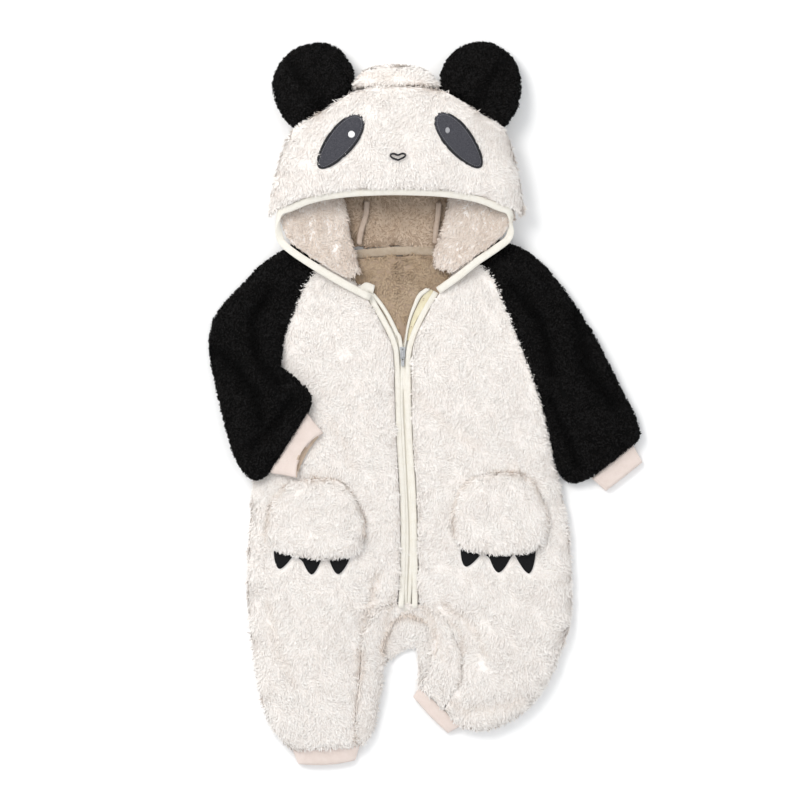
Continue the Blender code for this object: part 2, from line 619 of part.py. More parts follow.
def hood_section(edge, a, b, seam, edge_z, fold):
    """Middle line of one section: layers joined by half circles at both folds, or one slope where
    the cloth is spread."""

    def half_circle(tip, ahead, high, low):
        gap = np.linalg.norm(ahead - tip)
        inward = (ahead - tip) / gap
        reach = min(FOLD_TUCK, 0.45 * gap)
        turns = np.radians((90, 45, 0, -45, -90))
        plan = tip + np.outer(reach * (1 - np.cos(turns)), inward)
        return np.column_stack([plan, (high + low) / 2 + (high - low) / 2 * np.sin(turns)])

    upper = half_circle(a, edge, LAYER_HIGH, LAYER_MID)
    lower = half_circle(b, seam, LAYER_MID, LAYER_LOW)
    start, end = np.array((*edge, edge_z)), np.array((*seam, LAYER_LOW))
    folded = np.vstack([start, (start + upper[0]) / 2, upper, (upper[-1] + lower[0]) / 2, lower,
                        (lower[-1] + end) / 2, end])
    share = np.linspace(0, 1, len(folded))
    spread_out = start + np.outer(share, end - start)
    spread_out[:, 2] = LAYER_LOW + (edge_z - LAYER_LOW) * (1 - share) ** 1.3
    return spread_out + (folded - spread_out) * fold


def hood_side(name, rows):
    sections = []
    for ex, ey, ez, ax, ay, bx, by, sx, sy, fold in rows:
        corners = (np.array(p, float) for p in ((ex, ey), (ax, ay), (bx, by), (sx, sy)))
        sections.append(hood_section(*corners, ez, fold))
    columns = len(sections[0])
    outer, inner = thicken(np.concatenate(sections), columns, SIDE_WALL)
    for grid in (outer, inner):
        np.maximum(grid[:, 2], 0.0, out=grid[:, 2])
    return shell(name, outer, inner, grid_quads(len(rows), columns), "white_plush")


def face_point(along, across):
    """Middle surface of the face panel: along from 0 at the ear seam to 1 at the lip, across from
    -1 at the left edge to 1 at the right edge."""
    places = np.linspace(0, 1, len(FACE_ROWS))
    middle_y, left, right, middle_z = (np.interp(along, places, column) for column in zip(*FACE_ROWS))
    shares, seam_drop, lip_drop = (np.array(column) for column in zip(*FACE_DROPS))
    drop = np.interp(abs(across), shares, seam_drop * (1 - along) + lip_drop * along)
    centre, half = (left + right) / 2, (right - left) / 2
    bow = math.sqrt(max(0.0, 1 - abs(across) ** 2.4))
    height = FACE_EDGE_Z + (middle_z - FACE_EDGE_Z) * bow
    x = centre + across * half
    y = middle_y - drop
    return np.array((x, y, height - 0.6 * fold_depth(x, y) * bow))


def hood_binding():
    """Band beyond the edge of the hood: up the left side's edge, over the lip and down again."""
    reach = BIND_WIDE / 2 + SEAM_GAP + 0.5
    more = 1.6
    stations = []
    left_end, right_end = (np.array(end) for end in BINDING_ENDS)
    for rows in (HOOD_LEFT_ROWS[:6:-1], None, HOOD_RIGHT_ROWS[7:]):
        if rows is None:
            for across in (-0.95, -0.85, -0.67, -0.4, 0, 0.4, 0.67, 0.85, 0.93):
                here = face_point(1, across)
                run = face_point(1, across + 0.02) - face_point(1, across - 0.02)
                out = here - face_point(0.9, across)
                out -= run * np.dot(out, run) / np.dot(run, run)
                stations.append((here, out / np.linalg.norm(out), reach + more * abs(across) ** 3))
            continue
        edge = np.array([row[:3] for row in rows])
        run = np.gradient(edge, axis=0)
        for here, (rx, ry, _) in zip(edge, run):
            out = np.array((-ry, rx, 0))
            stations.append((here, out / np.linalg.norm(out), reach + more))
    stations.insert(0, (left_end, stations[0][1], 0))
    stations.append((right_end, stations[-1][1], 0))
    table = round_path([np.concatenate([here + out * far, out]) for here, out, far in stations], 51)
    return ribbon("hood_binding", table[:, :3], BIND_WIDE, BIND_THICK, "cream_binding", side=table[:, 3:])


def hood_front(rows=12, columns=21):
    points = []
    for along in np.linspace(0, 1, rows):
        for across in -np.cos(np.linspace(0, math.pi, columns)):
            points.append(face_point(along, across))
    points = np.array(points)
    outer, inner = thicken(points, columns, PLUSH)
    for grid in (outer, inner):
        np.maximum(grid[:, 2], FACE_EDGE_Z + 0.3, out=grid[:, 2])
    return shell("hood_front", outer, inner, grid_quads(rows, columns), "white_plush")


def hood_centre(columns=9):
    """Centre strip: from the crease behind the face over the top of the head and down the back."""
    top_z, low_z = 44.0, PLUSH / 2
    crease_y, reach = 348.5, 22.5
    points = []
    arc = np.linspace(0, math.pi, 9)
    across = np.linspace(-1, 1, columns)
    for turn in arc:
        for q in across:
            x = -33.5 + 43.5 * q
            bulge = 3.5 + (reach - 3.5) * math.sqrt(1 - abs(q) ** 2.6)
            z = low_z + (top_z - low_z - 10 * q * q) * (1 + math.cos(turn)) / 2
            points.append((x, crease_y + bulge * math.sin(turn) - 6 * (turn / math.pi), z))
    neck_y = 174.3
    for y in (325, 300, 270, 240, 210, neck_y):
        for q in across:
            droop = (2.5 if q < 0 else 0.9) * q * q if y == neck_y else 0
            points.append((-27.5 + 41.1 * q, y - droop, low_z))
    points = np.array(points)
    outer, inner = thicken(points, columns, PLUSH)
    for grid in (outer, inner):
        np.maximum(grid[:, 2], 0.0, out=grid[:, 2])
    return shell("hood_centre", outer, inner, grid_quads(len(points) // columns, columns), "white_plush")


def ribbon(name, path, wide, thick, finish, side=None, corner=0.35):
    """Flat band along a path of x, y, z, with its edges rounded off. It lies level unless the
    directions across it are given."""
    path = np.asarray(path, float)
    along = np.gradient(path, axis=0)
    along /= np.linalg.norm(along, axis=1, keepdims=True)
    if side is None:
        side = np.cross(along, (0, 0, 1.0))
    side = side - along * np.sum(side * along, axis=1, keepdims=True)
    side /= np.linalg.norm(side, axis=1, keepdims=True)
    up = np.cross(side, along)
    w, t, c = wide / 2, thick / 2, thick * corner
    profile = [(-w, -t + c), (-w, t - c), (-w + c, t), (w - c, t), (w, t - c), (w, -t + c),
               (w - c, -t), (-w + c, -t)]
    points, faces = [], []
    for p, s, u in zip(path, side, up):
        points += [p + s * a + u * b for a, b in profile]
    n, last = len(profile), len(path) - 1
    faces += [tuple(reversed(f)) for f in grid_quads(len(path), n, closed=True)]
    faces += [tuple(range(n)), tuple(reversed(range(last * n, last * n + n)))]
    return add_object(name, points, faces, finish)


def pad(name, outline, base, rise, finish, count=26, rings=(1, 0.93, 0.75, 0.4)):
    """Solid with a round edge on a base. base and rise give heights from x, y and ring share."""
    edge = round_path(outline, count, closed=True)
    centre = edge.mean(axis=0)
    upper, lower, quads = [], [], []
    for ring in rings:
        for x, y in centre + (edge - centre) * ring:
            low = base(x, y, ring)
            lower.append((x, y, low))
            upper.append((x, y, low + rise(ring)))
    x, y = centre
    upper.append((x, y, base(x, y, 0) + rise(0)))
    lower.append((x, y, base(x, y, 0)))
    quads = grid_quads(len(rings), count, closed=True)
    hub, ring_start = len(upper) - 1, (len(rings) - 1) * count
    quads += [(ring_start + k, ring_start + (k + 1) % count, hub) for k in range(count)]
    return shell(name, upper, lower, quads, finish)


def ellipse(x, y, half_long, half_wide, tilt, count=14):
    """Oval like an egg, broader at its upper end."""
    turn = math.radians(tilt)
    points = []
    for a in np.linspace(0, 2 * math.pi, count, endpoint=False):
        along, across = half_long * math.cos(a), half_wide * math.sin(a) * (1 + 0.18 * math.cos(a))
        points.append((x + along * math.sin(turn) * -1 + across * math.cos(turn),
                       y + along * math.cos(turn) + across * math.sin(turn)))
    return points


def claws(name, roots, under):
    """Three claws cut in one piece with the strip that the pocket's seam holds."""
    hidden = 4.0
    samples, bluntness = 10, 1.73
    rows = []
    for rx, ry, half, tx, ty in roots:
        for w in np.linspace(-1, 1, samples + 1):
            reach = 1 - abs(w) ** bluntness
            x = rx + half * w
            rows.append((x, ry + hidden, x + (tx - rx) * reach, ry - 1.5 + (ty - ry + 1.5) * reach))
    outer, inner = [], []
    for x0, y0, x1, y1 in rows:
        for share in (0, 0.35, 0.7, 1):
            x, y = x0 + (x1 - x0) * share, y0 + (y1 - y0) * share
            low = under.height(x, y, 0, 2.0) + REST_GAP
            inner.append((x, y, low))
            outer.append((x, y, low + CLAW_THICK))
    return shell(name, outer, inner, grid_quads(len(rows), 4), "black_felt")


def cuff(name, sewn, free, sewn_z, free_z, draw_back, lift, finish="peach_jersey", under=None):
    """Short tube laid flat: two layers that meet at both folded edges."""
    half = 9
    shares = spread(half)
    axis = np.array(free).mean(axis=0) - np.array(sewn).mean(axis=0)
    axis /= np.linalg.norm(axis)
    outer, inner = [], []
    lengths = (0, 0.35, 0.7, 1)
    for t in lengths:
        a = np.array(sewn[0]) * (1 - t) + np.array(free[0]) * t
        b = np.array(sewn[1]) * (1 - t) + np.array(free[1]) * t
        low_z = sewn_z[0] * (1 - t) + free_z[0] * t
        top_z = sewn_z[1] * (1 - t) + free_z[1] * t
        width = np.linalg.norm(b - a)
        rests = np.full(half, low_z)
        if under is not None:
            rests = np.array([max(low_z, under.height(*(a + (b - a) * s), 0, 5.0) + REST_GAP)
                              for s in shares])
        ring_out, ring_in = [], []
        for layer, order in ((1, shares), (-1, shares[-2:0:-1])):
            back = draw_back[0] if layer == 1 else draw_back[1]
            for s in order:
                bow = 4 * s * (1 - s)
                x, y = a + (b - a) * s - axis * back * bow * t * t
                q = float(quarter(min(s, 1 - s) * width, 6))
                base = max(rests - REST_SLOPE * width * abs(shares - s))
                mid = base + (top_z - low_z) / 2
                reach = (top_z - low_z) / 2 * q
                z = mid + layer * reach + (lift * bow * t if layer == 1 else 0)
                ring_out.append((x, y, z))
                s_in = CUFF_WALL / width + s * (1 - 2 * CUFF_WALL / width)
                xi, yi = a + (b - a) * s_in - axis * back * bow * t * t
                zi = mid + layer * max(reach - CUFF_WALL, 0.25 * q) + (lift * bow * t if layer == 1 else 0)
                ring_in.append((xi, yi, zi))
        outer += ring_out
        inner += ring_in
    return shell(name, outer, inner, grid_quads(len(lengths), 2 * half - 2, closed=True), finish)


def zip_tape():
    table = refine(TAPE_ROWS, 2)
    outer, inner, quads = [], [], []
    for a, b in ((1, 2), (3, 4)):
        first = len(outer)
        for row in table:
            for x in (row[a], (row[a] + row[b]) / 2, row[b]):
                outer.append((x, row[0], TAPE_Z + TAPE_THICK / 2))
                inner.append((x, row[0], TAPE_Z - TAPE_THICK / 2))
        quads += [tuple(first + k for k in quad) for quad in grid_quads(len(table), 3)]
    return shell("zip_tape", outer, inner, quads, "cream_binding")


def box_faces(first):
    return [tuple(first + k for k in f) for f in ((0, 3, 2, 1), (4, 5, 6, 7), (0, 1, 5, 4), (1, 2, 6, 5),
                                                  (2, 3, 7, 6), (3, 0, 4, 7))]


def zip_slider():
    """Tapered body with a crown over it: a side view turned into a plate, joined by a union."""
    low, high = SLIDER_LOW_Y, SLIDER_HIGH_Y
    body = []
    for z in (SLIDER_BASE, SLIDER_TOP):
        body += [(SLIDER_X - 2.3, low, z), (SLIDER_X + 2.3, low, z), (SLIDER_X + 3.1, high, z),
                 (SLIDER_X - 3.1, high, z)]
    slider = add_object("zip_slider", body, box_faces(0), "zip_metal")
    side_view = [(low + 1.0, SLIDER_TOP - 0.6), (low + 1.0, CROWN_TOP - 1.2), (low + 2.2, CROWN_TOP),
                 (high - 3.4, CROWN_TOP), (high - 1.8, CROWN_TOP - 1.4), (high - 1.4, SLIDER_TOP - 0.6),
                 (high - 3.2, SLIDER_TOP - 0.6), (high - 3.6, CROWN_WINDOW - 0.5),
                 (high - 4.4, CROWN_WINDOW), (low + 2.7, CROWN_WINDOW), (low + 2.2, CROWN_WINDOW - 0.5),
                 (low + 2.2, SLIDER_TOP - 0.6)]
    n = len(side_view)
    points = [(SLIDER_X + x, y, z) for x in (-CROWN_HALF, CROWN_HALF) for y, z in side_view]
    faces = [tuple(range(n)), tuple(reversed(range(n, 2 * n)))]
    faces += [(k, n + k, n + (k + 1) % n, (k + 1) % n) for k in range(n)]
    crown = add_object("crown", points, [tuple(reversed(f)) for f in faces], "zip_metal")
    crown.hide_render = True
    crown.display_type = "WIRE"
    union = slider.modifiers.new("crown", "BOOLEAN")
    union.operation = "UNION"
    union.object = crown
    return slider


def zip_pull():
    """Tab with an eye round the crown, lying down the zip. Its bar is the hinge."""
    px, py, pz = PIVOT
    arm_in, arm_out = 1.15, 1.75
    bar, thick = 0.5, 0.5
    near, far = py - 4.6, py - 11.6
    points, faces = [], []
    ring_out = [(-arm_out, py + bar), (-arm_out, near), (-arm_out, far + 1.2), (-arm_out + 1.0, far),
                (arm_out - 1.0, far), (arm_out, far + 1.2), (arm_out, near), (arm_out, py + bar)]
    ring_in = [(-arm_in, py - bar), (-arm_in, near + 0.6), (-arm_in, near), (-0.4, near - 0.3),
               (0.4, near - 0.3), (arm_in, near), (arm_in, near + 0.6), (arm_in, py - bar)]
    n = len(ring_out)
    for z in (pz - thick, pz + thick):
        points += [(px + x, y, z) for x, y in ring_out] + [(px + x, y, z) for x, y in ring_in]
    for k in range(n):
        d = (k + 1) % n
        faces.append((k, d, n + d, n + k))
        faces.append((2 * n + k, 3 * n + k, 3 * n + d, 2 * n + d))
        faces.append((k, 2 * n + k, 2 * n + d, d))
        faces.append((n + k, n + d, 3 * n + d, 3 * n + k))
    tab = add_object("zip_pull", points, faces, "zip_metal")
    pivot = Vector(PIVOT) * MM
    tab.data.transform(Matrix.Translation(-pivot))
    tab.location = pivot
    return tab


def ear(name, outline, hinge, tip):
    """Stuffed disc: sewn at the hood's seam, its far end resting on the floor."""
    start, end = np.array(hinge), np.array(tip)
    axis = (end - start) / np.linalg.norm(end - start)
    reach = np.linalg.norm(end - start)

    def middle(x, y):
        share = np.clip(np.dot(np.array((x, y)) - start, axis) / reach, 0, 1)
        return 29 - 18 * share

    def half(ring):
        return 1.2 + (EAR_HALF_THICK - 1.2) * float(quarter(1 - ring, 0.75))

    def base(x, y, ring):
        return max(middle(x, y) - half(ring), 0.0)

    return pad(name, outline, base, lambda ring: 2 * half(ring), "black_plush", count=26,
               rings=(1, 0.97, 0.85, 0.5))


def build():
    clear_scene()
    front_left = front_panel("front_left", LEFT_ROWS)
    front_right = front_panel("front_right", RIGHT_ROWS)
    back_panel()
    front_placket = placket_front()
    placket_back()
    claws_left = claws("claws_left", CLAWS_LEFT, Under(front_left))
    claws_right = claws("claws_right", CLAWS_RIGHT, Under(front_right))

    def pocket_rise(ring):
        return 2.6 + 7.4 * float(quarter(1 - ring, 0.4))

    on_left, on_right = Under(front_left, claws_left), Under(front_right, claws_right)
    pocket_gap = 2 * REST_GAP
    pocket_left = pad("pocket_left", POCKET_LEFT,
                      lambda x, y, ring: on_left.height(x, y, 0, 8) + pocket_gap,
                      pocket_rise, "white_plush")
    pad("pocket_right", POCKET_RIGHT,
        lambda x, y, ring: on_right.height(x, y, 0, 8) + pocket_gap,
        pocket_rise, "white_plush")
    below_arm = Under(front_left, pocket_left)
    sleeve("sleeve_left", SLEEVE_LEFT_ROWS, below_arm, 7)
    sleeve("sleeve_right", SLEEVE_RIGHT_ROWS)
    for name, sizes in CUFFS.items():
        cuff(name, under=below_arm if name == "sleeve_cuff_left" else None, **sizes)

    face = hood_front()
    hood_side("hood_side_left", HOOD_LEFT_ROWS)
    hood_side("hood_side_right", HOOD_RIGHT_ROWS)
    hood_centre()
    hood_binding()
    neck = [(-80, 163.8, 4), (-67, 165.6, 4), (-48, 167.2, 4), (-28, 168.6, 4), (-9, 168.2, 4), (9, 167.7, 4)]
    ribbon("neck_tape", round_path(neck, 11), 10, 2.0, "cream_binding")
    zip_tape()
    on_placket = Under(front_placket)
    for name, route in (("zip_band_left", BAND_LEFT_PATH), ("zip_band_right", BAND_RIGHT_PATH)):
        path = round_path(route, 27)
        heights = [max(FRONT_LOW, on_placket.height(x, y, 0, 5) + SEAM_GAP) + 0.2 + BAND_THICK / 2
                   for x, y in path]
        ribbon(name, np.column_stack([path, heights]), BAND_WIDE, BAND_THICK, "cream_binding")
    zip_slider()
    zip_pull()

    on_face = Under(face)
    for name, place in (("eye_left", EYE_LEFT), ("eye_right", EYE_RIGHT)):
        pad(name, ellipse(*place), lambda x, y, ring: on_face.height(x, y, 0, 2) + SEAM_GAP,
            lambda ring: EYE_THICK, "slate_felt", rings=(1, 0.6))
    ear("ear_left", EAR_LEFT, (-116, 319), (-140, 392))
    ear("ear_right", EAR_RIGHT, (55, 321), (62, 397))


build()
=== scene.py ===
"""Looks of the hooded plush romper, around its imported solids. Metres, the romper lying on z = 0.

Every plush solid gets a finer skin and a pile of bent tufts; the zip, the binding, the cuffs and the
embroidery get their thread, teeth and stitches."""
import math

import bmesh
import bpy
import numpy as np
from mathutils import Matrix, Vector, noise
from mathutils.bvhtree import BVHTree


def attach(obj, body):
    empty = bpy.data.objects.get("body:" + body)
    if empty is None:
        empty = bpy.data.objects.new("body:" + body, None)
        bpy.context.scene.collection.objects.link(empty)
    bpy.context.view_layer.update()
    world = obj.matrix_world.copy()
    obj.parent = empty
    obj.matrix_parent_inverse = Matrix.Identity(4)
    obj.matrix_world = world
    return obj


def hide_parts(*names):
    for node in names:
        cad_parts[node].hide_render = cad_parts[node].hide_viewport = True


MM = 0.001
UP = Vector((0, 0, 1))
GARMENT = "garment"                       # the body that all but the pull tab rides on
PHOTO_SIDE, PHOTO_SPAN = 800, 0.880       # pixels and metres across the picture, at the floor
PIXEL = 1.1 * MM
ORIGIN_PIXEL = (426.5, 404)               # the pixel over the frame's origin
CAMERA_HEIGHT = 6.0
PILE_SHARE = 1.0

# Pile of each kind of plush: tufts a square metre, length, width and thickness of a tuft in mm, how
# steeply it stands in degrees, how much its direction wanders, and how far it curls over.
PILES = {
    "white": dict(density=6.9e5, length=6.7, wide=1.22, thick=0.0, rise=25, wander=0.8, curl=0.42),
    "black": dict(density=4.4e5, length=4.8, wide=1.7, thick=1.2, rise=50, wander=2.0, curl=0.95),
    "inside": dict(density=5.0e5, length=6.0, wide=1.5, thick=0.0, rise=26, wander=1.1, curl=0.45),
}
WHITE_NODES = ["front_left", "front_right", "back", "placket_front", "placket_back", "pocket_left",
               "pocket_right", "hood_front", "hood_centre", "hood_side_left", "hood_side_right"]
BLACK_NODES = ["sleeve_left", "sleeve_right", "ear_left", "ear_right"]
# Cloth pieces: width and length of the cut in metres, its area where that isn't a rectangle, how it is
# held, and what it lies on or is sewn to. A tube's cut is given all round.
CLOTH = {
    "front_left": (0.175, 0.545, 0.0680, "laid", ["back"]),
    "front_right": (0.185, 0.530, 0.0665, "laid", ["back"]),
    "back": (0.380, 0.600, 0.1400, "laid", ["floor"]),
    "placket_front": (0.036, 0.240, 0.0067, "laid", ["placket_back"]),
    "placket_back": (0.038, 0.260, 0.0080, "laid", ["floor"]),
    "hood_front": (0.270, 0.130, 0.0275, "draped", ["hood_side_left", "hood_side_right", "hood_centre"]),
    "hood_centre": (0.110, 0.240, 0.0186, "laid", ["floor"]),
    "hood_side_left": (0.150, 0.240, 0.0210, "folded", ["floor"]),
    "hood_side_right": (0.150, 0.240, 0.0200, "folded", ["floor"]),
    "sleeve_left": (0.200, 0.285, 0.0380, "laid", ["floor", "front_left"]),
    "sleeve_right": (0.215, 0.300, 0.0420, "laid", ["floor"]),
    "sleeve_cuff_left": (0.140, 0.026, None, "laid", ["front_left"]),
    "sleeve_cuff_right": (0.120, 0.022, None, "laid", ["floor"]),
    "leg_cuff_left": (0.130, 0.021, None, "laid", ["floor"]),
    "leg_cuff_right": (0.110, 0.018, None, "laid", ["floor"]),
    "hood_binding": (0.0118, 0.560, None, "folded", ["hood_front", "hood_side_left", "hood_side_right"]),
    "neck_tape": (0.012, 0.088, None, "laid", ["back", "hood_centre"]),
    "zip_tape": (0.024, 0.340, None, "laid", ["back"]),
    "zip_band_left": (0.010, 0.330, None, "folded", ["front_left", "zip_tape"]),
    "zip_band_right": (0.010, 0.330, None, "folded", ["front_right", "zip_tape"]),
    "eye_left": (0.033, 0.075, 0.0017, "laid", ["hood_front"]),
    "eye_right": (0.033, 0.077, 0.0017, "laid", ["hood_front"]),
    "claws_left": (0.022, 0.085, 0.0012, "laid", ["front_left"]),
    "claws_right": (0.022, 0.085, 0.0012, "laid", ["front_right"]),
}
# Padded pieces, and how full each is.
STUFFED = {"pocket_left": 0.35, "pocket_right": 0.35, "ear_left": 0.5, "ear_right": 0.5}

# Creases of the laid garment: how wide and deep each is, how much shade is painted on the pile in it,
# and its places in the photograph, in pixels.
#    half width mm, depth mm, painted shade
CREASES = [
    (3.7, 1.5, 0.46, [(381, 652), (382, 643), (386, 632), (394.5, 619), (405.5, 612.5), (418, 616),
                      (427, 619)]),
    (3.0, 0.8, 0.28, [(364, 621), (360, 640), (360, 673), (358, 688), (355, 709), (354.5, 740)]),
    (5.2, 2.1, 0.28, [(379, 572), (372, 590), (364, 621)]),
    (4.0, 1.4, 0.22, [(392, 598), (388, 612), (384, 630)]),
    (3.4, 1.1, 0.25, [(448, 618), (460, 628), (462, 660), (458, 684)]),
    (4.6, 1.7, 0.22, [(439, 604), (462, 615), (477, 631), (484, 652)]),
    (4.0, 1.4, 0.25, [(424, 606), (432, 616), (436, 634), (436, 650)]),
    (5.8, 1.5, 0.19, [(452, 700), (466, 709), (492, 706), (520, 698)]),
    (2.8, 0.7, 0.28, [(443, 655), (444.5, 657)]),
    (2.8, 0.7, 0.28, [(439.5, 686), (441, 688)]),
    (2.1, 0.6, 0.34, [(345, 485), (357, 498), (363, 514), (364.5, 534)]),
    (2.1, 0.6, 0.28, [(286, 486), (274, 500), (268, 518), (267, 538)]),
    (2.8, 0.8, 0.43, [(306, 478.5), (322, 478), (340, 480)]),
    (2.1, 0.6, 0.28, [(455, 535), (453, 512), (461, 490), (474, 477)]),
    (2.1, 0.6, 0.28, [(547, 530), (544, 505), (533, 484), (522, 474)]),
    (2.8, 0.8, 0.40, [(489, 471.5), (503, 471), (518, 472)]),
    (6.9, 1.0, 0.14, [(268, 600), (276, 640), (292, 680)]),
    (6.9, 1.0, 0.12, [(420, 395), (440, 420), (470, 440)]),
    (5.8, 0.8, 0.11, [(330, 420), (345, 440), (350, 465)]),
    (3.0, 0.7, 0.28, [(356, 91), (376, 88), (398, 87.5), (420, 88), (438, 92)]),
    (3.4, 0.7, 0.22, [(360, 77), (380, 80), (398, 79)]),
    (8.0, 4.0, 0.60, [(268, 292), (252, 322), (256, 356), (278, 382)]),
    (9.0, 4.0, 0.60, [(212, 348), (236, 366), (258, 398), (262, 424)]),
    (7.0, 3.5, 0.55, [(292, 402), (276, 422), (254, 446)]),
    (8.0, 4.0, 0.60, [(512, 286), (540, 322), (552, 372)]),
    (9.0, 4.0, 0.55, [(574, 316), (586, 368), (612, 404)]),
    (7.0, 3.5, 0.55, [(548, 396), (564, 432), (576, 464)]),
    (6.0, 1.6, 0.45, [(292, 66), (308, 88), (320, 108)]),
    (6.0, 1.6, 0.45, [(500, 66), (486, 88), (474, 108)]),
]
# Warm tan colour of the shade painted into the white pile's creases.
CREASE_SHADE_COLOUR = np.array((0.73, 0.60, 0.49))

# Middle of the hood's binding, in pixels: down the left end, over the top and down the right end.
BINDING = [(369, 301), (349, 287.5), (317, 271), (286, 251), (274, 236), (271, 227), (277, 216), (298, 203.5),
           (342, 195.5), (400, 192.5), (466, 195.5), (494, 201.5), (513, 210.5), (521, 222), (519, 234),
           (508, 246), (480, 264.5), (453, 284), (441, 293)]

# Skins: edges longer than these are cut in two, and edges that turn by more than an angle stay crisp.
LONGEST_EDGES = (30 * MM, 15 * MM)
SHARP_ANGLE, CRISPNESS = 0.9, 0.75
LUMPS = ((1.0, 45), (1.3, 17))            # height and frequency of the slow lumps
FACES_UP = 0.3                            # a normal's height on an upper face
# Pile: how near the floor it stops, how far it looks for a way out, how its direction wanders.
LOWEST_ROOT, ROOT_REACH = 2.8 * MM, 4 * MM
WAY_OUT, OFF_THE_SKIN = 45 * MM, 1.2 * MM
WANDER_LENGTH, STRAY = 14 * MM, 0.35
LEAN_REACH, LEAN_PULL, AVOID_PULL = 8 * MM, 1.8, -1.2
BLACK_COVER = 20 * MM                     # black tufts don't root with anything this close above
MOST_TRIANGLES = 190_000                  # in one mesh of tufts
WAVE = 0.314                              # scale of a wave texture whose bands are 1 m apart


def place(px, py):
    """Where a pixel of the photograph lies in plan."""
    return np.array(((px - ORIGIN_PIXEL[0]) * PIXEL, (ORIGIN_PIXEL[1] - py) * PIXEL))


def new_material(name, colour, rough=0.9, sheen=0.0, sheen_rough=0.5, metallic=0.0, tint=None, specular=0.5):
    mat = bpy.data.materials.new(name)
    mat.use_nodes = True
    shader = mat.node_tree.nodes["Principled BSDF"]
    shader.inputs["Base Color"].default_value = (*colour, 1)
    shader.inputs["Roughness"].default_value = rough
    shader.inputs["Metallic"].default_value = metallic
    shader.inputs["Sheen Weight"].default_value = sheen
    shader.inputs["Specular IOR Level"].default_value = specular
    shader.inputs["Sheen Roughness"].default_value = sheen_rough
    if tint:
        shader.inputs["Sheen Tint"].default_value = (*tint, 1)
    return mat


def add_node(mat, kind, **values):
    node = mat.node_tree.nodes.new(kind)
    for key, value in values.items():
        if key in node.inputs:
            node.inputs[key].default_value = value
        else:
            setattr(node, key, value)
    return node


def link(mat, source, target):
    mat.node_tree.links.new(source, target)


def shader_of(mat):
    return mat.node_tree.nodes["Principled BSDF"]


def mottled(mat, dark, light, scale, detail=3.0, low=0.35, high=0.65, shade=False):
    """Base colour that wanders between two tones, times the tufts' own root-to-tip painted shade."""
    place_in = add_node(mat, "ShaderNodeTexCoord")
    cloud = add_node(mat, "ShaderNodeTexNoise", Scale=scale, Detail=detail, Roughness=0.6)
    link(mat, place_in.outputs["Object"], cloud.inputs["Vector"])
    ramp = add_node(mat, "ShaderNodeValToRGB")
    ramp.color_ramp.elements[0].position, ramp.color_ramp.elements[1].position = low, high
    ramp.color_ramp.elements[0].color = (*dark, 1)
    ramp.color_ramp.elements[1].color = (*light, 1)
    link(mat, cloud.outputs["Fac"], ramp.inputs["Fac"])
    last = ramp.outputs["Color"]
    if shade:
        own = add_node(mat, "ShaderNodeVertexColor", layer_name="shade")
        mix = add_node(mat, "ShaderNodeMix", data_type="RGBA", blend_type="MULTIPLY")
        mix.inputs[0].default_value = 1.0
        link(mat, last, mix.inputs[6])
        link(mat, own.outputs["Color"], mix.inputs[7])
        last = mix.outputs[2]
    link(mat, last, shader_of(mat).inputs["Base Color"])
    return mat


def add_bump(mat, height, distance, strength=0.5):
    bump = add_node(mat, "ShaderNodeBump", Strength=strength, Distance=distance)
    link(mat, height, bump.inputs["Height"])
    link(mat, bump.outputs["Normal"], shader_of(mat).inputs["Normal"])
    return mat


def garment_object(name, mesh, mat):
    """Smooth-shaded object of a mesh, on the garment's body."""
    mesh.materials.append(mat)
    mesh.shade_smooth()
    obj = bpy.data.objects.new(name, mesh)
    bpy.context.scene.collection.objects.link(obj)
    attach(obj, GARMENT)
    return obj


def mesh_object(name, points, faces, mat):
    mesh = bpy.data.meshes.new(name)
    mesh.from_pydata([tuple(p) for p in points], [], [tuple(f) for f in faces])
    return garment_object(name, mesh, mat)


def fast_mesh(name, points, triangles, mat, shades):
    """Object of triangles from arrays, with a painted shade for each point."""
    mesh = bpy.data.meshes.new(name)
    mesh.vertices.add(len(points))
    mesh.vertices.foreach_set("co", np.asarray(points, np.float32).ravel())
    mesh.loops.add(3 * len(triangles))
    mesh.loops.foreach_set("vertex_index", np.asarray(triangles, np.int32).ravel())
    mesh.polygons.add(len(triangles))
    mesh.polygons.foreach_set("loop_start", np.arange(0, 3 * len(triangles), 3, dtype=np.int32))
    mesh.polygons.foreach_set("loop_total", np.full(len(triangles), 3, np.int32))
    mesh.update(calc_edges=True)
    layer = mesh.color_attributes.new("shade", "FLOAT_COLOR", "POINT")
    opaque = np.column_stack([shades, np.ones(len(points))])
    layer.data.foreach_set("color", opaque.astype(np.float32).ravel())
    return garment_object(name, mesh, mat)


def crease_at(points):
    """How deep the creases are at points in plan, in metres, and how much shade is painted on the pile there.
    """
    deep, shade = np.zeros(len(points)), np.zeros(len(points))
    for half, depth, strength, pixels in CREASES:
        route = np.array([place(*pixel) for pixel in pixels])
        gap = np.full(len(points), 1.0)
        for a, b in zip(route, route[1:]):
            share = np.clip((points[:, :2] - a) @ (b - a) / np.dot(b - a, b - a), 0, 1)
            gap = np.minimum(gap, np.linalg.norm(points[:, :2] - a - share[:, None] * (b - a), axis=1))
        near = np.exp(-(gap / (half * MM)) ** 2)
        deep = np.maximum(deep, depth * MM * near)
        shade = np.maximum(shade, strength * near)
    return deep, shade


def solid_tree(obj):
    mesh = obj.data
    return BVHTree.FromPolygons([v.co.copy() for v in mesh.vertices],
                                [tuple(face.vertices) for face in mesh.polygons])


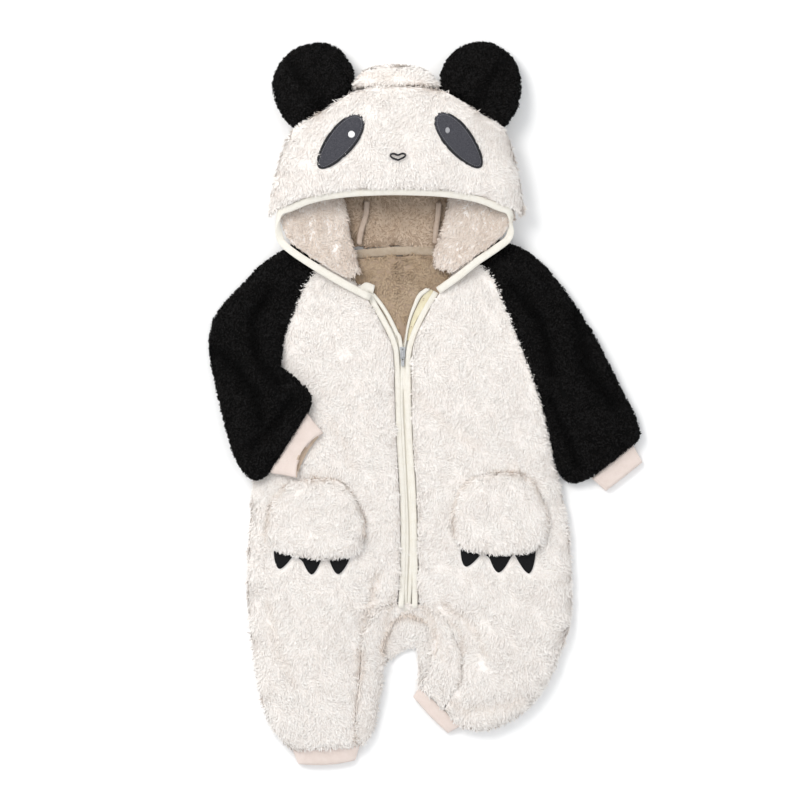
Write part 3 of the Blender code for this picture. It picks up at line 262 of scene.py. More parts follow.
def arrays_of(mesh):
    """Points, triangles and the triangles' normals and areas of a mesh."""
    mesh.calc_loop_triangles()
    points = np.empty(len(mesh.vertices) * 3)
    mesh.vertices.foreach_get("co", points)
    points = points.reshape(-1, 3)
    triangles = np.empty(len(mesh.loop_triangles) * 3, np.int32)
    mesh.loop_triangles.foreach_get("vertices", triangles)
    triangles = triangles.reshape(-1, 3)
    a, b, c = (points[triangles[:, k]] for k in range(3))
    cross = np.cross(b - a, c - a)
    size = np.linalg.norm(cross, axis=1)
    return points, triangles, cross / np.maximum(size, 1e-15)[:, None], size / 2


def skin_of(node, mat, lumps=0.6, inset=-0.2, creased=False):
    """Finer copy of a soft solid: smoothed, a little lumpy, and creased on its upper face. lumps and
    inset are in mm."""
    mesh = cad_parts[node].data.copy()
    work = bmesh.new()
    work.from_mesh(mesh)
    bmesh.ops.remove_doubles(work, verts=work.verts, dist=1e-6)
    bmesh.ops.join_triangles(work, faces=work.faces, angle_face_threshold=0.7, angle_shape_threshold=0.7)
    for longest in LONGEST_EDGES:
        bmesh.ops.subdivide_edges(work, edges=[e for e in work.edges if e.calc_length() > longest], cuts=1,
                                  use_grid_fill=True)
    crease = work.edges.layers.float.new("crease_edge")
    for edge in work.edges:
        if len(edge.link_faces) == 2 and edge.calc_face_angle() > SHARP_ANGLE:
            edge[crease] = CRISPNESS
    work.to_mesh(mesh)
    work.free()
    skin = bpy.data.objects.new(node + "_skin", mesh)
    bpy.context.scene.collection.objects.link(skin)
    smooth = skin.modifiers.new("smooth", "SUBSURF")
    smooth.levels = smooth.render_levels = 1
    bpy.context.view_layer.update()
    done = bpy.data.meshes.new_from_object(skin.evaluated_get(bpy.context.evaluated_depsgraph_get()))
    skin.modifiers.clear()
    skin.data = done
    done.materials.clear()
    done.materials.append(mat)
    count = len(done.vertices)
    points, normals = np.empty(3 * count), np.empty(3 * count)
    done.vertices.foreach_get("co", points)
    done.vertices.foreach_get("normal", normals)
    points, normals = points.reshape(-1, 3), normals.reshape(-1, 3)
    wave = np.array([sum(high * noise.noise(Vector(p) * often) for high, often in LUMPS) for p in points])
    off_floor = points[:, 2] > 0.3 * MM
    points += normals * ((wave * lumps - inset) * MM * off_floor)[:, None]
    if creased:
        points[:, 2] -= crease_at(points)[0] * (normals[:, 2] > FACES_UP)
    points[:, 2] = np.maximum(points[:, 2], 0.0)
    done.vertices.foreach_set("co", points.ravel())
    done.update()
    done.shade_smooth()
    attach(skin, GARMENT)
    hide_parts(node)
    return skin


def waves(points, length, seed):
    """Three smooth wandering values at each point, about -1 to 1, that change over a length."""
    rng = np.random.default_rng(seed)
    out = np.zeros((len(points), 3))
    for _ in range(6):
        ways = rng.normal(size=(3, 3)) / length * 2.2
        phase = rng.uniform(0, 2 * math.pi, 3)
        out += np.sin(points @ ways.T + phase)
    return out / 2.4


def open_to_view(points, normals, cover):
    """Whether each point has a free way out, by six rays."""
    tilts = [(0, 0, 1), (0.8, 0, 0.6), (-0.8, 0, 0.6), (0, 0.8, 0.6), (0, -0.8, 0.6)]
    free = np.zeros(len(points), bool)
    for k, (p, n) in enumerate(zip(points, normals)):
        start = Vector(p + n * OFF_THE_SKIN)
        for way in tilts + [tuple(n)]:
            way = Vector(way)
            if way.dot(Vector(n)) < 0.08:
                continue
            if cover.ray_cast(start, way, WAY_OUT)[0] is None:
                free[k] = True
                break
    return free


def unit(vectors):
    return vectors / np.maximum(np.linalg.norm(vectors, axis=1, keepdims=True), 1e-12)


def pile(name, skin, kind, mat, flow, keep, avoid=(), lean_over=(), seed=0):
    """Tufts of pile on the open faces of a skin that keep passes. flow gives the nap's direction at
    points. Tufts lean away from the trims that avoid names and over the pieces that lean_over names."""
    size = PILES[kind]
    rng = np.random.default_rng(seed)
    points, triangles, normals, areas = arrays_of(skin.data)
    centres = points[triangles].mean(axis=1)
    wanted = centres[:, 2] + ROOT_REACH * normals[:, 2] > LOWEST_ROOT
    wanted &= keep(centres)
    chosen = np.where(wanted)[0]
    chosen = chosen[open_to_view(centres[chosen], normals[chosen], everything)]
    if not len(chosen):
        return []
    total = areas[chosen].sum()
    count = int(total * size["density"] * PILE_SHARE)
    picks = rng.choice(chosen, size=count, p=areas[chosen] / total)
    u, v = rng.random(count), rng.random(count)
    over = u + v > 1
    u[over], v[over] = 1 - u[over], 1 - v[over]
    shares = np.column_stack([1 - u - v, u, v])[:, :, None]
    roots = (points[triangles[picks]] * shares).sum(axis=1)
    smooth = np.empty(len(points) * 3)
    skin.data.vertices.foreach_get("normal", smooth)
    normal = unit((smooth.reshape(-1, 3)[triangles[picks]] * shares).sum(axis=1))

    if kind == "black":
        start = roots + normal * 1.5 * MM
        free = np.array([up <= 0.2 or everything.ray_cast(Vector(p), UP, BLACK_COVER)[0] is None
                         for p, up in zip(start, normal[:, 2])])
        roots, normal = roots[free], normal[free]
    count = len(roots)

    stray = STRAY * rng.normal(size=roots.shape)
    way = flow(roots) + size["wander"] * waves(roots, WANDER_LENGTH, seed + 1) + stray
    shorter = np.ones(count)
    near_by = [(n, AVOID_PULL, CLEARANCE[n]) for n in avoid] + [(n, LEAN_PULL, LEAN_REACH) for n in lean_over]
    for piece, pull, reach in near_by:
        for k, root in enumerate(roots):
            near = trees[piece].find_nearest(Vector(root), reach)
            if near[0] is not None:
                to = np.array(near[0]) - root
                gap = np.linalg.norm(to)
                way[k] += to / max(gap, 1e-6) * pull * (1 - 0.5 * gap / reach)
                if pull < 0:
                    shorter[k] = min(shorter[k], 0.45 + 0.55 * gap / reach)
    way -= normal * np.sum(way * normal, axis=1, keepdims=True)
    way = unit(way)
    side = np.cross(normal, way)

    # Each tuft: two cross-sections and a tip, bent over by its curl. A flat one is a blade of 3
    # triangles, and a thick one has a ridge along its middle and 6.
    length = size["length"] * MM * rng.uniform(0.65, 1.25, count) * shorter
    rise = np.radians(size["rise"] + rng.normal(0, 12, count)) * (0.6 + 0.4 * shorter)
    wide = size["wide"] * MM / 2 * rng.uniform(0.6, 1.25, count)
    thick = size["thick"] * MM * rng.uniform(0.6, 1.2, count)
    drift = rng.normal(0, 0.22, count)
    corners, flat = [], not size["thick"]
    for share, breadth in ((0.0, 0.75), (0.55, 1.0), (1.0, 0.0)):
        ahead = length * share * np.cos(rise)
        up = length * (share * np.sin(rise) - size["curl"] * 0.45 * share ** 2)
        middle = (roots - normal * 0.4 * MM + way * ahead[:, None] + normal * up[:, None]
                  + side * (drift * length * share ** 2)[:, None])
        if not breadth:
            corners.append(middle)
            continue
        reach = side * (wide * breadth)[:, None]
        ridge = [] if flat else [middle + normal * (thick * breadth)[:, None]]
        corners += [middle - reach, *ridge, middle + reach]
    tufts = np.stack(corners, axis=1)
    tufts[:, :, 2] = np.maximum(tufts[:, :, 2], 0.4 * MM)
    tone = rng.uniform(0.92, 1.0, count)
    if flat:
        pattern = np.array([(1, 0, 2), (1, 2, 3), (3, 2, 4)])
        levels = np.array((0.76, 0.76, 0.97, 0.97, 1.0))
        facing = unit(normal - 0.24 * way + 0.25 * np.array(UP) + 0.18 * rng.normal(size=normal.shape))
        facing = np.repeat(facing[:, None], 5, axis=1)
    else:
        pattern = np.array([(0, 1, 4), (0, 4, 3), (1, 2, 5), (1, 5, 4), (3, 4, 6), (4, 5, 6)])
        levels = np.array((0.20, 0.35, 0.20, 0.55, 1.0, 0.55, 1.0))
        facing = None
    # Painted shade and highlight: each tuft is darker at its root than at its tip, a black one lighter
    # along its ridge, and the shaded parts warmer; the three exponents are for red, green and blue.
    shades = np.power((levels[None, :] * tone[:, None])[:, :, None], np.array((0.80, 1.0, 1.18)))
    # Painted shade in the creases: warm tan on the white pile, darker on the black.
    in_crease = crease_at(roots)[1][:, None, None]
    shades *= 1 - in_crease * (1 - CREASE_SHADE_COLOUR) if kind == "white" else 1 - in_crease
    made = []
    per_piece = MOST_TRIANGLES // len(pattern)
    for part, first in enumerate(range(0, count, per_piece)):
        some = slice(first, first + per_piece)
        here = tufts[some]
        faces = (pattern[None] + len(levels) * np.arange(len(here))[:, None, None]).reshape(-1, 3)
        obj = fast_mesh(f"{name}_{part}", here.reshape(-1, 3), faces, mat, shades[some].reshape(-1, 3))
        if flat:
            obj.data.normals_split_custom_set_from_vertices(facing[some].reshape(-1, 3))
        made.append(obj)
    return made


def steady(x, y):
    """Nap that runs one way all over."""
    return lambda points: np.tile(np.array((x, y, 0.0)), (len(points), 1))


def away_from(x, y):
    """Nap that runs out from a place in plan."""
    return lambda points: -unit((np.array((x, y, 0.0)) - points) * (1, 1, 0))


def curve(points, step):
    """Smooth curve through points, resampled to even steps."""
    p = np.asarray(points, float)
    p = np.vstack([2 * p[0] - p[1], p, 2 * p[-1] - p[-2]])
    fine = []
    for a, b, c, d in zip(p, p[1:], p[2:], p[3:]):
        for t in np.linspace(0, 1, 24, endpoint=False):
            fine.append(0.5 * (2 * b + (c - a) * t + (2 * a - 5 * b + 4 * c - d) * t ** 2
                               + (3 * b - a - 3 * c + d) * t ** 3))
    fine = np.array(fine + [p[-2]])
    run = np.concatenate([[0], np.cumsum(np.linalg.norm(np.diff(fine, axis=0), axis=1))])
    at = np.linspace(0, run[-1], max(2, int(round(run[-1] / step)) + 1))
    return np.column_stack([np.interp(at, run, fine[:, k]) for k in range(fine.shape[1])])


def photo_curve(pixels, step):
    return curve([place(*p) for p in pixels], step)


def drop_on(carriers, plan, lift=0.0):
    """Points of a plan path set on the highest face under each, or at 9 mm, and the faces' normals."""
    out, normals = [], []
    for x, y in plan:
        best, facing = 9 * MM, UP
        for tree in carriers:
            hit = tree.ray_cast(Vector((x, y, 0.2)), -UP)
            if hit[0] is not None and hit[0].z > best:
                best, facing = hit[0].z, hit[1] if hit[1].z > 0 else -hit[1]
        out.append((x, y, best))
        normals.append(tuple(facing))
    out, normals = np.array(out), np.array(normals)
    return out + normals * lift, normals


def sweep(points, normals, wide, thick, sides, taper):
    """Rings of an oval section along points, wide across and thick along the normals, with a taper at
    each ring."""
    points = np.asarray(points, float)
    along = unit(np.gradient(points, axis=0))
    normals = unit(normals - along * np.sum(normals * along, axis=1, keepdims=True))
    side = np.cross(along, normals)
    turn = np.linspace(0, 2 * math.pi, sides, endpoint=False)
    rings = [p + np.outer(np.cos(turn) * wide / 2 * f, s) + np.outer(np.sin(turn) * thick / 2 * f, n)
             for p, s, n, f in zip(points, side, normals, taper)]
    verts = np.concatenate(rings)
    faces = []
    for r in range(len(points) - 1):
        for k in range(sides):
            d = (k + 1) % sides
            faces.append((r * sides + k, r * sides + d, (r + 1) * sides + d, (r + 1) * sides + k))
    last = (len(points) - 1) * sides
    faces += [tuple(reversed(range(sides))), tuple(range(last, last + sides))]
    return verts, faces


def joined(name, parts, mat):
    """One piece from many small solids."""
    verts, faces, first = [], [], 0
    for v, f in parts:
        verts.append(v)
        faces += [tuple(first + k for k in face) for face in f]
        first += len(v)
    obj = mesh_object(name, np.concatenate(verts), faces, mat)
    return obj


def tube(points, normals, wide, thick):
    ends = np.ones(len(points))
    ends[[0, -1]] = 0.35
    return sweep(points, normals, wide, thick, 10, ends)


def dashes(points, normals, length=2.4 * MM, gap=0.9 * MM, wide=0.55 * MM):
    """Thread that dips in and out along a path: one small capsule a stitch."""
    run = np.concatenate([[0], np.cumsum(np.linalg.norm(np.diff(points, axis=0), axis=1))])
    parts, start = [], 0.3 * gap
    while start + length < run[-1]:
        at = start + length * np.array((0, 0.2, 0.8, 1))
        mid = np.column_stack([np.interp(at, run, points[:, k]) for k in range(3)])
        facing = unit(np.column_stack([np.interp(at, run, normals[:, k]) for k in range(3)]))
        dip = np.array((-0.32, 0.08, 0.08, -0.32)) * wide
        parts.append(sweep(mid + facing * dip[:, None], facing, wide, wide * 0.8, 5, (0.45, 1, 1, 0.45)))
        start += length + gap
    return parts


def shifted(plan, distance):
    """A plan path moved sideways, to the right of its direction for a positive distance."""
    along = unit(np.gradient(plan, axis=0))
    return plan + np.column_stack([along[:, 1], -along[:, 0]]) * distance


def paint(skin, mat, test):
    """A second material on the faces whose middle passes a test."""
    skin.data.materials.append(mat)
    for face in skin.data.polygons:
        if test(face.center):
            face.material_index = 1


def plush(name, dark, light, sheen, sheen_tint, rough=0.95, tufts=True, specular=0.2, scale=55):
    mat = new_material(name, light, rough, sheen, 0.45, tint=sheen_tint, specular=specular)
    return mottled(mat, dark, light, scale, 4.0, 0.3, 0.7, shade=tufts)


def felt(name, dark, light):
    mat = new_material(name, light, 0.92, 0.06, 0.5, specular=0.1)
    mottled(mat, dark, light, 700, 5.0, 0.3, 0.7)
    fibre = add_node(mat, "ShaderNodeTexNoise", Scale=2600, Detail=3.0)
    coords = add_node(mat, "ShaderNodeTexCoord")
    link(mat, coords.outputs["Object"], fibre.inputs["Vector"])
    return add_bump(mat, fibre.outputs["Fac"], 0.0004, 0.5)


def woven(name, dark, light):
    """Cotton tape: slanting ribs crossed by finer threads."""
    mat = new_material(name, light, 0.85, 0.15, 0.5)
    mottled(mat, dark, light, 160, 4.0, 0.3, 0.7)
    coords = add_node(mat, "ShaderNodeTexCoord")
    ribs = []
    for angle, pitch in ((0.9, 0.9 * MM), (-0.9, 0.72 * MM)):
        turned = add_node(mat, "ShaderNodeMapping")
        turned.inputs["Rotation"].default_value = (0.3, 0.2, angle)
        link(mat, coords.outputs["Object"], turned.inputs["Vector"])
        rib = add_node(mat, "ShaderNodeTexWave", Scale=WAVE / pitch, Distortion=0.6, Detail=1.0)
        rib.inputs["Detail Scale"].default_value = 2.0
        link(mat, turned.outputs["Vector"], rib.inputs["Vector"])
        ribs.append(rib)
    both = add_node(mat, "ShaderNodeMath", operation="MULTIPLY")
    link(mat, ribs[0].outputs["Fac"], both.inputs[0])
    link(mat, ribs[1].outputs["Fac"], both.inputs[1])
    return add_bump(mat, both.outputs["Value"], 0.0005, 0.7)


def jersey(name, dark, light, turn):
    """Fine rib knit: columns of slanted stitches along the cuff."""
    mat = new_material(name, light, 0.88, 0.2, 0.5)
    mottled(mat, dark, light, 120, 4.0, 0.3, 0.7)
    coords = add_node(mat, "ShaderNodeTexCoord")
    turned = add_node(mat, "ShaderNodeMapping")
    turned.inputs["Rotation"].default_value = (0, 0, turn)
    link(mat, coords.outputs["Object"], turned.inputs["Vector"])
    column = add_node(mat, "ShaderNodeTexWave", Scale=WAVE / (1.3 * MM), Distortion=0.8, Detail=2.0)
    column.inputs["Detail Scale"].default_value = 3.0
    link(mat, turned.outputs["Vector"], column.inputs["Vector"])
    row = add_node(mat, "ShaderNodeTexWave", Scale=WAVE / (1.0 * MM), Distortion=1.6, Detail=2.0,
                   bands_direction="Y")
    row.inputs["Detail Scale"].default_value = 3.0
    link(mat, turned.outputs["Vector"], row.inputs["Vector"])
    both = add_node(mat, "ShaderNodeMath", operation="MULTIPLY_ADD")
    both.inputs[1].default_value = 0.45
    link(mat, row.outputs["Fac"], both.inputs[0])
    link(mat, column.outputs["Fac"], both.inputs[2])
    return add_bump(mat, both.outputs["Value"], 0.0006, 0.8)


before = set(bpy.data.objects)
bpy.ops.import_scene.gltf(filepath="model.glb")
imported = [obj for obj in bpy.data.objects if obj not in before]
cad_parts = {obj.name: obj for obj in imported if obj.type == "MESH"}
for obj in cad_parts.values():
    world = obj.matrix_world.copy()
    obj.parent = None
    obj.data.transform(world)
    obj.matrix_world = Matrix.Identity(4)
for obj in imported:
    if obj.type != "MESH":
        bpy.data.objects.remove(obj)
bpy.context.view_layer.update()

WHITE_PILE = plush("white pile", (0.925, 0.89, 0.86), (0.965, 0.945, 0.92), 0.10, (1, 0.98, 0.95))
# Painted shade: the same white fleece, darker and warmer where it lies in shade within the hood's opening,
# inside the back at the neck and deep in the hood.
SHADED_LINING_PILE = plush("shaded lining pile", (0.75, 0.65, 0.57), (0.88, 0.81, 0.75), 0.05, (1, 0.97, 0.93))
SHADED_BACK_PILE = plush("shaded back pile", (0.41, 0.305, 0.205), (0.53, 0.415, 0.30), 0.05, (1, 0.95, 0.9))
SHADED_INSIDE_PILE = plush("shaded inside pile", (0.50, 0.38, 0.28), (0.64, 0.52, 0.41), 0.05, (1, 0.95, 0.9))
# The black pile's lighter flecks are painted highlights on its curls.
BLACK_PILE = plush("black pile", (0.0025, 0.0025, 0.0025), (0.023, 0.023, 0.024), 0.0, (0.5, 0.5, 0.52), 0.55,
                   specular=0.02, scale=420)
WHITE_GROUND = plush("white ground", (0.86, 0.81, 0.77), (0.90, 0.86, 0.83), 0.0, (1, 1, 1), tufts=False)
# Painted shade on the skin under the pile inside the hood and neck.
SHADED_INSIDE_GROUND = plush("shaded inside ground", (0.33, 0.24, 0.17), (0.42, 0.32, 0.24), 0.0, (1, 1, 1), tufts=False)
BLACK_GROUND = plush("black ground", (0.0025, 0.0025, 0.0025), (0.005, 0.005, 0.005), 0.0, (1, 1, 1),
                     tufts=False, specular=0.05)
CREAM = woven("cream tape", (0.84, 0.80, 0.71), (0.90, 0.87, 0.80))
SHADED_TAPE = woven("shaded tape", (0.42, 0.33, 0.24), (0.54, 0.45, 0.35))
# Yellowish tape for the inner side of the zip's folded loop.
YELLOWISH_TAPE = woven("inner tape", (0.74, 0.66, 0.45), (0.84, 0.78, 0.58))
# Painted shade: the cuff's knit, darker where it lies in shade inside the left cuff's mouth.
SHADED_KNIT_INSIDE = jersey("shaded cuff inside knit", (0.62, 0.46, 0.33), (0.74, 0.58, 0.45), 0.62)
THREAD = new_material("cream thread", (0.90, 0.87, 0.79), 0.7, 0.2)
SLATE = felt("slate felt", (0.042, 0.042, 0.050), (0.078, 0.078, 0.090))
CLAW = felt("black felt", (0.0055, 0.0055, 0.006), (0.012, 0.012, 0.013))
DARK_THREAD = new_material("dark thread", (0.013, 0.013, 0.016), 0.5, 0.15, specular=0.25)
PALE_THREAD = new_material("pale thread", (0.20, 0.20, 0.22), 0.5, 0.2, specular=0.25)
WHITE_THREAD = new_material("white thread", (0.86, 0.86, 0.86), 0.5, 0.2)
DIM_THREAD = new_material("dim thread", (0.36, 0.36, 0.38), 0.5, 0.2)
TEETH = new_material("zip coil", (0.86, 0.82, 0.72), 0.35)
SNAP = mottled(new_material("snap", (0.88, 0.87, 0.85), 0.3), (0.84, 0.83, 0.81), (0.90, 0.89, 0.87), 900)
SEAM = woven("seam allowance", (0.48, 0.37, 0.29), (0.57, 0.46, 0.38))
METAL = new_material("brushed zinc", (0.52, 0.53, 0.54), 0.32, metallic=1.0)
mottled(METAL, (0.40, 0.41, 0.42), (0.62, 0.63, 0.64), 900, 4.0, 0.3, 0.7)

skins = {}
for node in WHITE_NODES:
    skins[node] = skin_of(node, WHITE_GROUND, creased=True)
for node in BLACK_NODES:
    skins[node] = skin_of(node, BLACK_GROUND, creased=True)
# How far each cuff's ribs are turned, in radians.
TURNS = {"sleeve_cuff_left": 0.62, "sleeve_cuff_right": -0.70, "leg_cuff_left": 0.0, "leg_cuff_right": 0.85}
for node, turn in TURNS.items():
    knit = jersey(node + " knit", (0.88, 0.745, 0.675), (0.94, 0.81, 0.745), turn)
    skins[node] = skin_of(node, knit, lumps=0.35, inset=0.0)
for node in ("hood_binding", "neck_tape", "zip_tape", "zip_band_left", "zip_band_right"):
    skins[node] = skin_of(node, SHADED_TAPE if node == "neck_tape" else CREAM, lumps=0.15, inset=0.0)
for node in ("eye_left", "eye_right"):
    skins[node] = skin_of(node, SLATE, lumps=0.15, inset=0.0)
for node in ("claws_left", "claws_right"):
    skins[node] = skin_of(node, CLAW, lumps=0.15, inset=0.0)
for node in ("zip_slider", "zip_pull"):
    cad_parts[node].data.materials.clear()
    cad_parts[node].data.materials.append(METAL)


def on_inside(node, p):
    """Whether a place on a piece is on the inside of the garment, where the hood's or neck's shade is
    painted.
    """
    x, y, z = p
    if node == "back":
        return y > 0.040 and -0.105 < x < 0.040
    if node == "hood_centre":
        return y < 0.290 and z < 0.030
    return z < 0.0125 and -0.100 < x < 0.036 and y < 0.290


def in_opening(p):
    """Whether a place is within the hood's opening in plan, by counting the sides that it looks across."""
    corners = [place(*pixel) for pixel in BINDING]
    crossed = 0
    for (ax, ay), (bx, by) in zip(corners, corners[1:] + corners[:1]):
        if (ay > p[1]) != (by > p[1]) and p[0] < ax + (p[1] - ay) / (by - ay) * (bx - ax):
            crossed += 1
    return crossed % 2 == 1


# The skins inside the hood and neck get painted shade.
INNER_NODES = ("hood_centre", "hood_side_left", "hood_side_right", "back")
for node in INNER_NODES:
    paint(skins[node], SHADED_INSIDE_GROUND, lambda p, node=node: on_inside(node, p))

trees = {name: solid_tree(skin) for name, skin in skins.items()}
# The edge of the upper layer of that cuff's mouth.
CUFF_RIDGE = [place(*pixel) for pixel in ((324, 432), (313, 440), (306, 446), (299, 456), (295, 474))]


def in_cuff_mouth(p):
    """Whether a place on the left sleeve's cuff is on the inside of its lower layer, past the upper one."""
    ridge = np.interp(-p[1], [-q[1] for q in CUFF_RIDGE], [q[0] for q in CUFF_RIDGE])
    return p[0] > ridge and trees["sleeve_cuff_left"].ray_cast(p + 0.5 * MM * UP, UP)[0] is None


# Painted shade on the inside of that cuff's lower layer, in its mouth.
paint(skins["sleeve_cuff_left"], SHADED_KNIT_INSIDE, in_cuff_mouth)
all_points, all_faces, first = [], [], 0
for skin in skins.values():
    all_points += [v.co.copy() for v in skin.data.vertices]
    all_faces += [tuple(first + k for k in face.vertices) for face in skin.data.polygons]
    first = len(all_points)
everything = BVHTree.FromPolygons(all_points, all_faces)

# How far the pile keeps off each trim, in metres.
CLEARANCE = {"hood_binding": 0.0062, "zip_band_left": 0.0042, "zip_band_right": 0.0042, "claws_left": 0.0050,
             "claws_right": 0.0050, "eye_left": 0.0035, "eye_right": 0.0035, "sleeve_cuff_left": 0.0035}

DOWN = steady(0.05, -1.0)
ARM_LEFT, ARM_RIGHT = steady(-0.45, -0.9), steady(0.65, -0.75)
# Pile of each piece: its kind, the nap's direction, the trims it keeps off and the pieces it leans over.
PLAN = [
    ("front_left", "white", DOWN, ["zip_band_left", "claws_left", "hood_binding", "sleeve_cuff_left"],
     ["sleeve_left"]),
    ("front_right", "white", steady(0.12, -1.0), ["zip_band_right", "claws_right", "hood_binding"],
     ["sleeve_right"]),
    ("back", "white", DOWN, [], []),
    ("placket_front", "white", DOWN, ["zip_band_left", "zip_band_right"], []),
    ("placket_back", "white", DOWN, [], []),
    ("pocket_left", "white", DOWN, ["claws_left"], []),
    ("pocket_right", "white", DOWN, ["claws_right"], []),
    ("hood_front", "white", DOWN, ["eye_left", "eye_right", "hood_binding"],
     ["ear_left", "ear_right", "hood_centre"]),
    ("hood_centre", "white", away_from(-0.033, 0.355), [], ["ear_left", "ear_right", "hood_front"]),
    ("hood_side_left", "white", steady(0.5, -1.0), ["hood_binding"], []),
    ("hood_side_right", "white", steady(-0.5, -1.0), ["hood_binding"], []),
    ("sleeve_left", "black", ARM_LEFT, ["hood_binding"], []),
    ("sleeve_right", "black", ARM_RIGHT, ["hood_binding"], []),
    ("ear_left", "black", away_from(-0.116, 0.330), [], []),
    ("ear_right", "black", away_from(0.056, 0.330), [], []),
]
tufts = {}
for seed, (name, kind, flow, avoid, lean) in enumerate(PLAN):
    zones = [("pile", kind, BLACK_PILE if kind == "black" else WHITE_PILE, flow)]
    # Pile inside the hood and neck and within the hood's opening gets painted shade.
    if name in INNER_NODES:
        zones.append(("inner_pile", "inside", SHADED_BACK_PILE if name == "back" else SHADED_INSIDE_PILE, steady(0, -1.0)))
    if name.startswith("hood_side"):
        zones.append(("shaded_lining_pile", kind, SHADED_LINING_PILE, flow))

    def zone_of(p, name=name):
        if name in INNER_NODES and on_inside(name, p):
            return "inner_pile"
        return "shaded_lining_pile" if name.startswith("hood_side") and in_opening(p) else "pile"

    tufts[name] = []
    for k, (zone, zone_kind, mat, way) in enumerate(zones):
        tufts[name] += pile(f"{name}_{zone}", skins[name], zone_kind, mat, way,
                            lambda points: np.array([zone_of(p) == zone for p in points]), avoid,
                            [] if zone == "inner_pile" else lean, 10 * seed + 3 * k)

# Zip: its coil in two rows that mesh below the slider and part above it.
ZIP_LINE = [(402.0, 352), (403.5, 400), (405.2, 440), (407, 480), (409, 520), (409.2, 550), (408, 580),
            (407, 611)]
ZIP_LEFT_EDGE = [(371, 294), (379, 304), (386, 315), (391, 325), (395, 334), (398.5, 344), (401.2, 350)]
ZIP_RIGHT_EDGE = [(429, 289), (419, 295), (414, 305), (410, 316), (407.5, 326), (405.5, 337), (402.8, 350)]
PITCH = 1.45 * MM


def coil(route, reach, offset=0.0):
    """Teeth across a path: one small rounded bar each."""
    points, normals = drop_on([trees["zip_tape"]], route, 0.55 * MM)
    along = unit(np.gradient(points, axis=0))
    side = np.cross(along, normals)
    parts = []
    for p, s, n in zip(points, side, normals):
        ends = np.array([p + s * (offset + reach * t) for t in (-1, -0.6, 0, 0.6, 1)])
        ends += np.outer((-0.25, 0.0, 0.1, 0.0, -0.25), n) * MM
        parts.append(sweep(ends, np.tile(n, (5, 1)), 0.95 * MM, 0.8 * MM, 6, (0.6, 1, 1, 1, 0.6)))
    return parts


line = photo_curve(ZIP_LINE, PITCH)
between = (line[:-1] + line[1:]) / 2
teeth = coil(line, 1.15 * MM, -0.75 * MM) + coil(between, 1.15 * MM, 0.75 * MM)
teeth += coil(photo_curve(ZIP_LEFT_EDGE, PITCH), 1.1 * MM)
teeth += coil(photo_curve(ZIP_RIGHT_EDGE, PITCH), 1.1 * MM)
zip_teeth = joined("zip_teeth", teeth, TEETH)


def evened(values, reach):
    """Running mean over this many neighbours on each side."""
    window = 2 * reach + 1
    return np.convolve(np.pad(values, reach, mode="edge"), np.ones(window) / window, "valid")


# The folded edges of the bands beside the coil, the free end of the tape on the right, folded back,
# and the small loop at the left of the neck.
lips = []
for side, route, start in ((-1, ZIP_LEFT_EDGE[:-1] + ZIP_LINE[1:], 1.2),
                           (1, [(405.5, 349), *ZIP_LINE[1:]], 2.6)):
    path = photo_curve(route, 2.0 * MM)
    share = np.linspace(0, 1, len(path))
    offset = np.interp(share, (0, 0.25, 0.9, 1), (start, 2.7, 2.7, 2.0)) * MM
    path = shifted(path, side * offset[:, None])
    points = drop_on([trees["zip_tape"], trees["front_left"], trees["front_right"]], path, 0.9 * MM)[0]
    points[:, 2] = evened(points[:, 2], 4) + 0.5 * MM
    lips.append(tube(points, np.tile(UP, (len(points), 1)), 4.4 * MM, 1.9 * MM))
zip_lips = joined("zip_lips", lips, CREAM)


def bent_strip(name, first, second, mat, arch, lift):
    """A strip of tape between two plan paths, arched between them, with a true thickness."""
    thick, across = 0.8 * MM, 9
    a, b = photo_curve(first, 1.5 * MM), photo_curve(second, 1.5 * MM)
    rows = min(len(a), len(b))
    a, b = (np.column_stack([np.interp(np.linspace(0, 1, rows), np.linspace(0, 1, len(c)), c[:, k])
                             for k in range(2)]) for c in (a, b))
    under = [trees[node] for node in ("zip_tape", "back", "front_right", "front_left")]
    base = evened(drop_on(under, b, lift)[0][:, 2], 3)
    grid = []
    for layer in (0, 1):
        for r in range(rows):
            for t in np.linspace(0, 1, across):
                x, y = a[r] + (b[r] - a[r]) * t
                grid.append((x, y, base[r] + arch * math.sin(math.pi * t) ** 0.6 - layer * thick))
    faces, lower = [], rows * across
    for r in range(rows - 1):
        for c in range(across - 1):
            k = r * across + c
            faces += [(k, k + 1, k + across + 1, k + across),
                      (lower + k, lower + k + across, lower + k + across + 1, lower + k + 1)]
    rim = ([(0, c) for c in range(across)] + [(r, across - 1) for r in range(1, rows)]
           + [(rows - 1, c) for c in range(across - 2, -1, -1)] + [(r, 0) for r in range(rows - 2, 0, -1)])
    ids = [r * across + c for r, c in rim]
    faces += [(j, k, k + lower, j + lower) for j, k in zip(ids[1:] + ids[:1], ids)]
    obj = mesh_object(name, grid, faces, mat)
    return obj


zip_loop = [
    bent_strip("zip_loop_outer",
               [(426, 288), (418, 294), (413, 305), (409, 317), (406.6, 328), (405, 340), (404, 348)],
               [(430, 290), (421.5, 297), (415.6, 308), (411.2, 319), (408.4, 330), (406.6, 341),
                (405.2, 348)],
               CREAM, 1.6 * MM, 2.2 * MM),
    bent_strip("zip_loop_inner",
               [(431, 289.5), (423, 296), (416.4, 308), (411.8, 319), (408.8, 330), (407, 341)],
               [(436, 293), (430, 301), (422, 311), (416, 321), (412, 331), (409, 341)],
               YELLOWISH_TAPE, -0.8 * MM, 1.6 * MM),
]
neck_loop = bent_strip("neck_loop", [(359, 287), (366, 282.5), (375, 285.5)],
                       [(365, 296), (368.5, 292.5), (373, 295)], CREAM, 1.6 * MM, 2.6 * MM)

